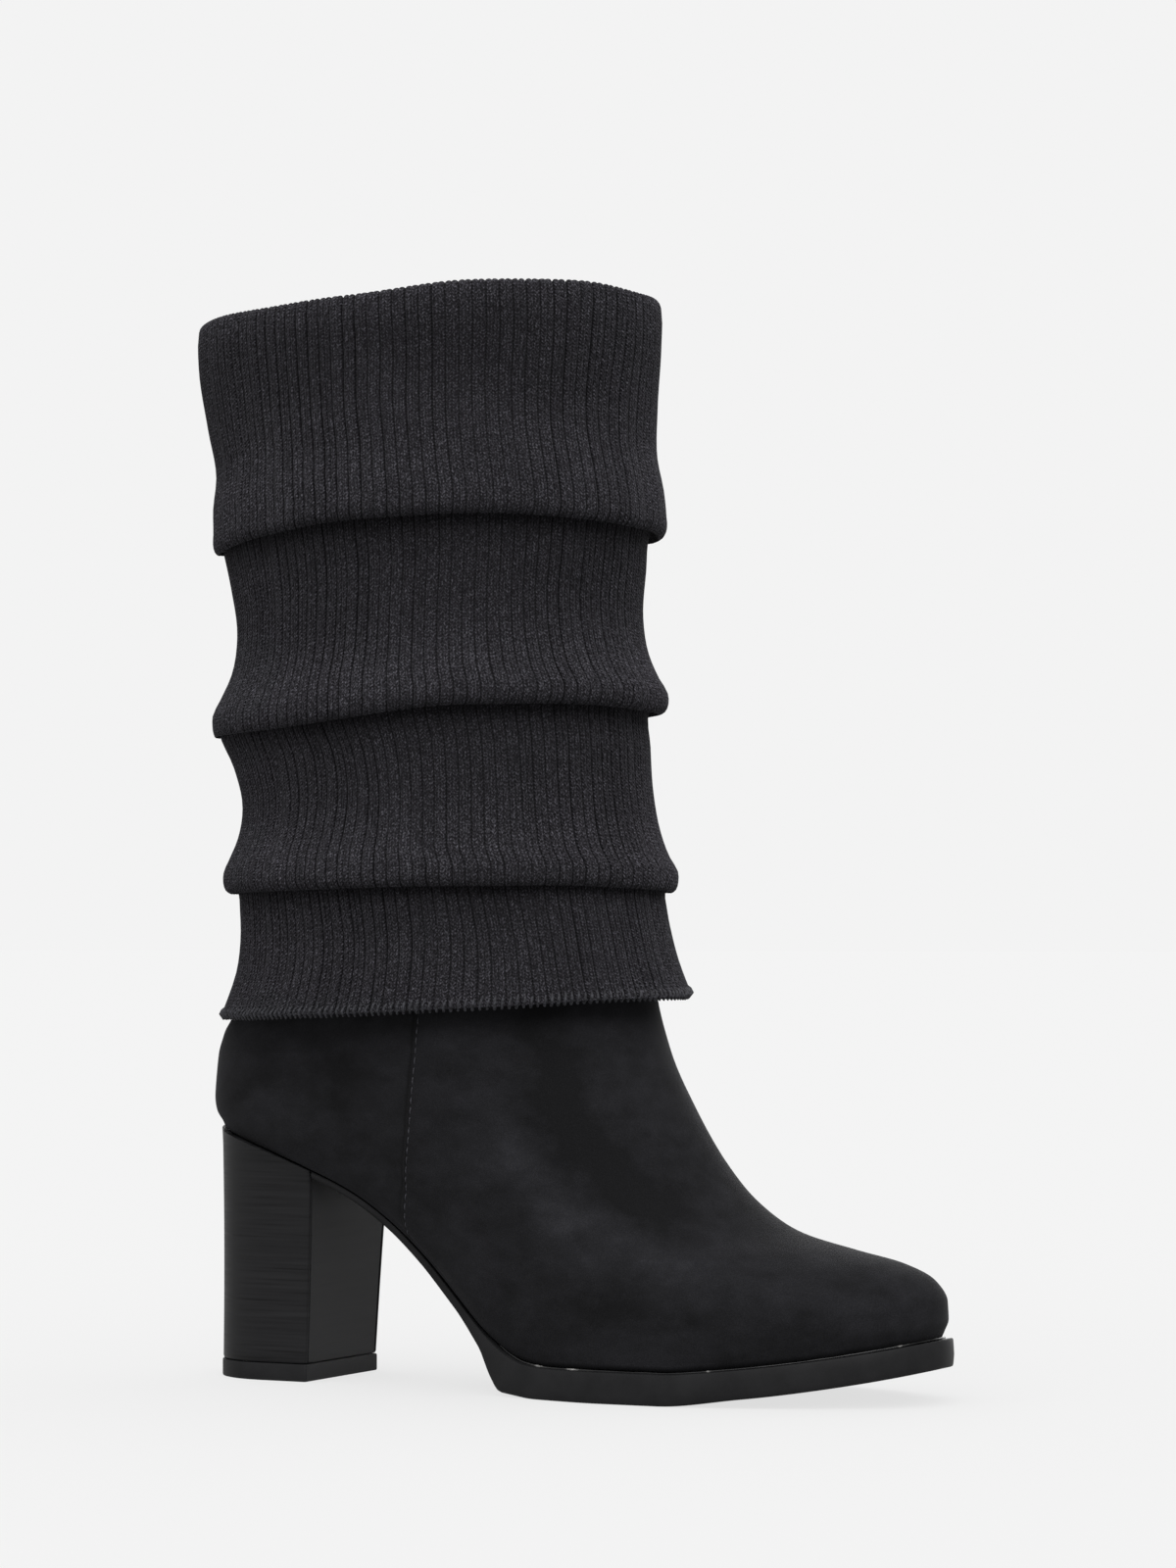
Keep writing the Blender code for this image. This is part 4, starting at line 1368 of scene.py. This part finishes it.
    def build(self) -> None:
        """Makes the knit and the overlocked edge of its hem."""
        angle = self.angles()
        face, strength, painted_light_and_shade = self.outside(angle)
        normal = ring_normals(face)
        if normal[len(normal) // 2, 0, 0] > 0:
            normal = -normal
        fade = np.clip(strength * 1.6 - 0.5, 0, 1)[:, None]
        soft = self.troughs(angle[None, :], face[..., 2]) * fade
        shown = face + normal * (self.relief(face, strength) - soft)[..., None]
        above = self.FOLDS[-1]
        inner = self.tier(self.SKIRT, above, self.HEM, angle, inward=self.skirt_wall)[::-1]
        edge = (shown[-1] + inner[0]) / 2 - np.array([0.0, 0.0, 0.35 * MM])
        collar_z = self.last.collar_height + self.fit_gap
        collar = (collar_z - self.hem) / (self.height - self.hem)
        grows = (self.skirt_ease, -self.upper_wall)
        lining = [self.collar_ring(angle, grow, collar_z) for grow in grows]
        for share in np.linspace(0.1, 0.97, 9):
            height = collar + (1 - collar) * share
            lining.append(self.ring(height, (0.0, 0.0, 0.0), angle, inward=self.wall))
        hidden = np.array([edge, *inner, *lining])
        inside = ring_normals(hidden[-9:])
        if inside[4, 0, 0] < 0:
            inside = -inside
        hidden[-9:] += inside * self.relief(hidden[-9:], np.full(9, 0.6))[..., None]
        rings = np.concatenate([shown, hidden])
        knit = surface("rib_knit_shaft", rings, self.knit, joined=True, uv=self.stitch_map(rings))
        painted_light_and_shade = np.concatenate([painted_light_and_shade, np.ones(len(hidden))])
        give(knit, "painted_light_and_shade", np.repeat(painted_light_and_shade, rings.shape[1]))
        settle(knit, Slot.KNIT, "shaft")
        self.overlock(shown, inner, normal)

    def stitch_map(self, rings: Array) -> Array:
        """Wales round the shaft and courses along it, for the stitches of the material."""
        rows, cols = rings.shape[:2]
        step = np.linalg.norm(np.diff(rings, axis=0), axis=2).mean(axis=1)
        run = np.concatenate([[0.0], np.cumsum(step), [step.sum() + self.course]])
        uv = np.empty((rows + 1, cols + 1, 2))
        uv[..., 0] = np.arange(cols + 1) * 2 / len(self.RIB)
        uv[..., 1] = run[:, None] / self.course
        return uv

    def collar_ring(self, angle: Array, grow: float, z: float) -> Array:
        """A level ring round the suede's top edge."""
        line = self.last.LINES[-1]
        back = self.last.station_x(line.back) - grow
        front = self.last.station_x(line.front) + grow
        x = (back + front) / 2 - (front - back) / 2 * np.cos(angle)
        y = float(self.last.swing(line.front)) - (self.last.collar_width / 2 + grow) * np.sin(angle)
        return np.stack([x, y, np.full(len(angle), z)], axis=1)

    def overlock(self, face: Array, inner: list[Array], normal: Array) -> None:
        """Thread that wraps the hem's edge once in every wale.

        Args:
            face: the knit's outer face.
            inner: the rings of its inside, from the hem up.
            normal: the outer face's normals.
        """
        rng = np.random.default_rng(9)
        threads, sizes = [], []
        half = len(self.RIB) // 2
        down = np.array([0.0, 0.0, -1.0])
        for k in range(half // 2, face.shape[1], half):
            out = normal[-1, k]
            side = np.cross(out, down)
            lean = side * rng.uniform(0.2, 0.7) * MM
            tall = rng.uniform(2.2, 3.0) * MM
            low, inside = face[-1, k], inner[0][k]
            up = face[-4, k] - low
            up /= np.linalg.norm(up)
            threads.append(
                np.array(
                    [
                        low + up * tall - out * 0.25 * MM + lean,
                        low + up * tall * 0.6 + out * 0.18 * MM + lean * 0.6,
                        low + up * tall * 0.2 + out * 0.32 * MM + lean * 0.2,
                        (low + inside) / 2 + down * 0.75 * MM,
                        inside + up * 0.3 * MM - out * 0.25 * MM,
                        inside + up * 1.4 * MM - out * 0.05 * MM,
                    ]
                )
            )
            sizes.append(np.array([0.25, 0.45, 0.5, 0.5, 0.45, 0.25]) * MM * rng.uniform(0.8, 1.1))
        settle(tubes("hem_overlock", threads, sizes, self.thread), Slot.KNIT)


# ---------------------------------------------------------------- sole, heel and footbed


@dataclass
class SoleUnit:
    """The rubber sole with its tread, and the cement in its joint."""

    last: Last
    rubber: bpy.types.Material
    cement: bpy.types.Material
    ledge: float = 2.6 * MM
    edge_round: float = 0.8 * MM
    fit_gap: float = 0.08 * MM
    breast: float = 0.01915 + 0.0030 + 0.0003
    side_points: int = 220
    across: int = 48
    groove: float = 0.8 * MM
    groove_pitch: float = 5.0 * MM
    corner_round: float = 2.4 * MM

    # the stations between which the tread's grooves run
    GROOVED = (0.52, 0.93)

    # where glints are painted pale on the cement, in mm: its place along X and its length
    PAINTED_GLINTS = ((106, 5), (119, 6), (209, 3), (160, 1.5))

    def outline(self) -> tuple[Array, Array]:
        """The sole's edge from the heel's breast round the toe and back, and its stations."""
        last, first = self.last, self.last.LINES[0]
        rear = (last.x_station(self.breast) - first.back) / (first.front - first.back)
        start = math.acos(1 - 2 * rear)
        way = np.linspace(start, math.pi, self.side_points)
        share = (1 - np.cos(way)) / 2
        share = np.concatenate([share, share[-2::-1]])
        outer = np.arange(len(share)) < self.side_points
        plan = last.edge_plan(share, outer)
        ledge = last.tread(last.x_station(plan[:, 0]), "ledge") * self.ledge
        plan = offset(plan, ledge, closed=False)
        plan[0, 0] = plan[-1, 0] = self.breast
        return plan, last.x_station(plan[:, 0])

    def build(self) -> None:
        """Makes the sole, with tread grooves under its forepart, and its line of cement."""
        last = self.last
        line, station = self.outline()
        steep = last.steepness(station)
        top = last.feather_z(station) - self.fit_gap * steep
        thick = last.tread(station, "thick") * last.sole_thickness * steep
        low = last.feather_z(station) - thick
        soft = self.corner_round * np.exp(-(((station - 0.483) / 0.026) ** 2))
        low = np.maximum((low + np.hypot(low, soft)) / 2, 0.0)
        count = len(line)
        tall = np.maximum(top - low, 2.2 * self.edge_round)

        def level(inset: float, z: Array) -> Array:
            """A loop of the edge, set in by an amount."""
            plan = offset(line, -inset, closed=False)
            plan[0, 0] = plan[-1, 0] = self.breast
            return np.column_stack([plan, z])

        r = self.edge_round
        bulge = 0.25 * MM
        rim = [
            level(0.5 * MM, top),
            level(0.12 * MM, top - 0.12 * MM),
            level(0.0, top - 0.5 * MM),
            level(-bulge * 0.6, top - tall * 0.3),
            level(-bulge, top - tall * 0.55),
            level(-bulge * 0.5, low + tall * 0.2 + r * 0.4),
            level(0.0, low + r),
            level(0.25 * r, low + 0.35 * r),
            level(r, low),
        ]
        points = np.concatenate(rim).tolist()
        faces = []
        for k in range(len(rim) - 1):
            for i in range(count - 1):
                a, b = k * count + i, (k + 1) * count + i
                faces.append([a, a + 1, b + 1, b])
        over = self.fill(points, faces, rim[0], 0, True, False)
        under = self.fill(points, faces, rim[-1], (len(rim) - 1) * count, False, True)
        down = [k * count for k in range(len(rim))]
        faces.append(down + under + [k + count - 1 for k in reversed(down)] + over[::-1])
        mesh = bpy.data.meshes.new("rubber_sole")
        mesh.from_pydata(points, [], faces)
        sole = placed("rubber_sole", mesh, self.rubber)
        turn_out(sole)
        settle(sole, Slot.RUBBER, "outsole")
        self.cement_line(line, top)

    def fill(
        self, points: list, faces: list, loop: Array, base: int, flip: bool, tread: bool
    ) -> list:
        """Closes the sole's top or underside with strips from side to side.

        Args:
            points: the mesh's points, which grow.
            faces: its faces, which grow.
            loop: the loop that is closed.
            base: the number of its first point.
            flip: whether the faces are turned over.
            tread: whether the tread's grooves are cut.

        Returns:
            The numbers of the new points on the breast's edge.
        """
        count = len(loop)
        half = count // 2
        across = self.across if tread else 2
        rows = []
        for i in range(half):
            a, b = loop[i], loop[count - 1 - i]
            row = [base + i]
            for t in np.arange(1, across) / across:
                p = a + (b - a) * t
                if tread:
                    p = p + np.array([0.0, 0.0, self.tread_depth(p, t, a, b)])
                row.append(len(points))
                points.append(p.tolist())
            rows.append(row + [base + count - 1 - i])
        for low, high in zip(rows, rows[1:]):
            for j in range(across):
                face = [low[j], low[j + 1], high[j + 1], high[j]]
                faces.append(face[::-1] if flip else face)
        end = rows[-1]
        for j in range(across):
            face = [end[j], end[j + 1], base + half]
            faces.append(face[::-1] if flip else face)
        return rows[0][1:-1]

    def tread_depth(self, point: Array, share: float, left: Array, right: Array) -> float:
        """How deep the tread's grooves are at a place under the forepart."""
        last = self.last
        station = float(last.x_station(point[0]))
        start, end = (smoothstep(np.array((station - at) / 0.03)) for at in self.GROOVED)
        zone = start * (1 - end)
        edge = min(share, 1 - share) * abs(right[1] - left[1])
        inside = smoothstep(np.array((edge - 4 * MM) / (2 * MM)))
        bow = 3 * MM * math.cos(point[1] / (9 * MM))
        wave = math.sin(2 * math.pi * (point[0] + bow) / self.groove_pitch)
        return float(self.groove * zone * inside * smoothstep(np.array((wave - 0.1) * 1.6)))

    def cement_line(self, line: Array, top: Array) -> None:
        """A thin bead of cement in the joint over the forepart's ledge."""
        plan = offset(line, -(self.ledge - 0.1 * MM), closed=False)
        path = np.column_stack([plan, top + 0.12 * MM])
        station = self.last.x_station(plan[:, 0])
        keep = station > 0.47
        path = path[keep]
        rng = np.random.default_rng(21)
        wobble = 0.30 + 0.10 * ripple(np.linspace(0, 40, len(path)), 4)
        wobble = wobble + rng.uniform(-0.02, 0.02, len(path))
        bead = tubes("sole_cement", [path], [np.clip(wobble, 0.15, 0.45) * MM], self.cement)
        along = np.repeat(path[:, 0], len(bead.data.vertices) // len(path))
        # painted glints round the listed places
        thick = sum(np.exp(-(((along - x * MM) / (wide * MM)) ** 2)) for x, wide in self.PAINTED_GLINTS)
        give(bead, "thick", 0.34 * thick)
        settle(bead, Slot.RUBBER)


def turn_out(thing: bpy.types.Object) -> None:
    """Turns a closed mesh's faces outwards."""
    bm = bmesh.new()
    bm.from_mesh(thing.data)
    bmesh.ops.recalc_face_normals(bm, faces=bm.faces)
    bm.to_mesh(thing.data)
    bm.free()


@dataclass
class BlockHeel:
    """The block heel and its tip."""

    last: Last
    stack: bpy.types.Material
    rubber: bpy.types.Material
    tip_width: float = 0.0442
    top_width: float = 0.0496
    tip_thickness: float = 5.3 * MM
    tip_rim: float = 0.25 * MM
    waist: float = 0.3 * MM
    back_round: float = 1.05
    blunt: float = 2.3
    breast_lean: float = 3.0 * MM
    corner: float = 0.7 * MM
    cover_groove: float = 0.35 * MM
    seat_flare: float = 0.9 * MM  # widens the block's top to the suede's edge
    fit_gap: float = 0.08 * MM

    # the rounded edges of the tip, in mm: how far in and how high
    TIP_EDGE = (
        (0.5, 0.0),
        (0.1, 0.12),
        (0.0, 0.5),
        (0.0, 2.6),
        (0.0, 4.7),
        (0.12, 5.15),
        (0.45, 5.3),
    )

    def outline(self, height: float, grow: float, inset: float = 0.0) -> Array:
        """The heel across at a share of its height: flat at the breast, round at the back.

        Args:
            height: share of the way from its foot to the seat.
            grow: how far it stands out past the block.
            inset: how far an edge is rounded in.

        Returns:
            Its points, from the back along the outer side, over the breast and back again.
        """
        hollow = self.waist * math.sin(math.pi * height)
        back = hollow - self.last.tip_depth / 2 - grow + inset
        full = (self.tip_width * (1 - height) + self.top_width * height) / 2 - hollow + grow
        full += self.seat_flare * float(smoothstep(np.array((height - 0.93) / 0.07)))
        breast = self.last.tip_depth / 2 + self.breast_lean * height + grow - inset
        stop = breast - self.corner
        x = back + (stop - back) * (1 - np.cos(np.linspace(0, math.pi / 2, 44)))
        bend = np.clip(1 - (x - back) / (full * self.back_round), 0.0, 1.0)
        half = np.maximum(full * np.sqrt(1 - bend**self.blunt) - inset, 0.0)
        half[0] = 0.0
        arc = np.linspace(0, math.pi / 2, 6)[1:]
        edge = full - inset - self.corner
        deep = self.cover_groove if grow == 0 else 0.0
        flat = [edge - far * MM for far in (0.25, 0.4, 1.0, 1.2)]
        flat += [edge * far for far in (0.8, 0.6, 0.4, 0.2, 0.0)]
        front = [breast, breast - deep, breast - deep] + [breast] * 6
        xs = np.concatenate([x, stop + self.corner * np.sin(arc), front])
        ys = np.concatenate([half, edge + self.corner * np.cos(arc), flat])
        side = np.column_stack([xs, ys])
        return np.concatenate([side * np.array([1.0, -1.0]), side[-2:0:-1]])

    def build(self) -> None:
        """Makes the block and its tip."""
        low = self.tip_thickness + 2 * self.fit_gap
        rings = []
        for share in np.concatenate([[0.0, 0.004, 0.012], np.linspace(0.04, 1.0, 26)]):
            inset = 0.35 * MM * max(0.0, 1 - share / 0.01) ** 2
            plan = self.outline(float(share), 0.0, inset)
            top = self.last.feather_z(self.last.x_station(plan[:, 0])) - self.fit_gap
            rings.append(np.column_stack([plan, low + (top - low) * share]))
        settle(surface("stacked_block", np.array(rings), self.stack), Slot.HEEL, "heel")
        rings = []
        for inset, z in self.TIP_EDGE:
            plan = self.outline(0.0, self.tip_rim, inset * MM)
            rings.append(np.column_stack([plan, np.full(len(plan), z * MM)]))
        settle(surface("rubber_tip", np.array(rings), self.rubber), Slot.RUBBER, "heel_tip")


# ---------------------------------------------------------------- studio


@dataclass
class Studio:
    """A pale floor, a soft dome of light, broad lamps on the boot and the photograph's camera."""

    floor: bpy.types.Material
    eye: tuple[float, float, float] = (0.71325, -1.2172, 0.1335)
    target: tuple[float, float, float] = (0.10175, 0.0044, 0.1811)
    lens: float = 104.0
    dome: str = "#f3f3f3"
    key_strength: float = 5.0
    fill_strength: float = 0.6
    back_strength: float = 2.2

    def camera(self) -> None:
        """Stands the camera where the photograph was taken from."""
        data = bpy.data.cameras.new("photo_camera")
        data.lens = self.lens
        data.sensor_fit = "AUTO"
        data.sensor_width = 36.0
        data.clip_end = 200.0
        camera = bpy.data.objects.new("photo_camera", data)
        camera.location = self.eye
        way = Vector(self.target) - Vector(self.eye)
        camera.rotation_euler = way.to_track_quat("-Z", "Y").to_euler()
        bpy.context.scene.collection.objects.link(camera)
        bpy.context.scene.camera = camera

    def lamp(
        self, name: str, strength: float, towards: tuple, spread: float, lit: bpy.types.Collection
    ) -> None:
        """A far, soft light.

        Args:
            name: the light's name.
            strength: its strength.
            towards: the way its light travels.
            spread: how wide it looks from the boot, in degrees.
            lit: what it shines on.
        """
        data = bpy.data.lights.new(name, "SUN")
        data.energy = strength
        data.angle = math.radians(spread)
        light = bpy.data.objects.new(name, data)
        light.rotation_euler = Vector(towards).to_track_quat("-Z", "Y").to_euler()
        light.location = (0.0, 0.0, 1.5)
        light.light_linking.receiver_collection = lit
        bpy.context.scene.collection.objects.link(light)

    def build(self) -> None:
        """Lays the floor and lights the boot."""
        world = bpy.data.worlds.new("studio")
        world.use_nodes = True
        tune(world.node_tree.nodes["Background"], {"Color": linear(self.dome), "Strength": 1.0})
        bpy.context.scene.world = world
        bpy.context.scene.view_settings.view_transform = "Standard"
        boot = bpy.data.collections.new("boot")
        for thing in bpy.context.scene.objects:
            if thing.type == "MESH":
                boot.objects.link(thing)
        self.lamp("key", self.key_strength, (-0.45, 0.55, -0.80), 50.0, boot)
        self.lamp("fill", self.fill_strength, (0.6, 0.5, -0.5), 60.0, boot)
        self.lamp("back", self.back_strength, (0.2, -0.9, -0.25), 60.0, boot)
        reach, cells = 60.0, 8
        grid = np.linspace(-reach, reach, cells + 1)
        points = [(float(x), float(y), 0.0) for y in grid for x in grid]
        faces = []
        for i in range(cells):
            for j in range(cells):
                a = i * (cells + 1) + j
                faces.append([a, a + 1, a + cells + 2, a + cells + 1])
        mesh = bpy.data.meshes.new("floor")
        mesh.from_pydata(points, [], faces)
        placed("floor", mesh, self.floor)


def dress_footbed() -> None:
    """Gives the CAD footbed its lining."""
    node = frame["nodes"]["insole"]
    finish = FootbedLining().make()
    if not node.data.materials:
        node.data.materials.append(finish)
    for slot in node.material_slots:
        slot.link = "OBJECT"
        slot.material = finish


def main() -> None:
    """Builds the boot's pieces in order, then the studio."""
    logging.basicConfig(level=logging.INFO, format="%(message)s")
    studio = Studio(LightTable().make())
    studio.camera()
    last = Last()
    rubber = MouldedRubber().make()
    SuedeFoot(last, FauxSuede().make(), PolyesterThread().make()).build()
    KnitShaft(last, AcrylicRibKnit().make(), HeatheredYarn().make()).build()
    SoleUnit(last, rubber, SoleCement().make()).build()
    BlockHeel(last, LacqueredStack().make(), rubber).build()
    dress_footbed()
    studio.build()


if __name__ == "__main__":
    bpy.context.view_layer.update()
    main()
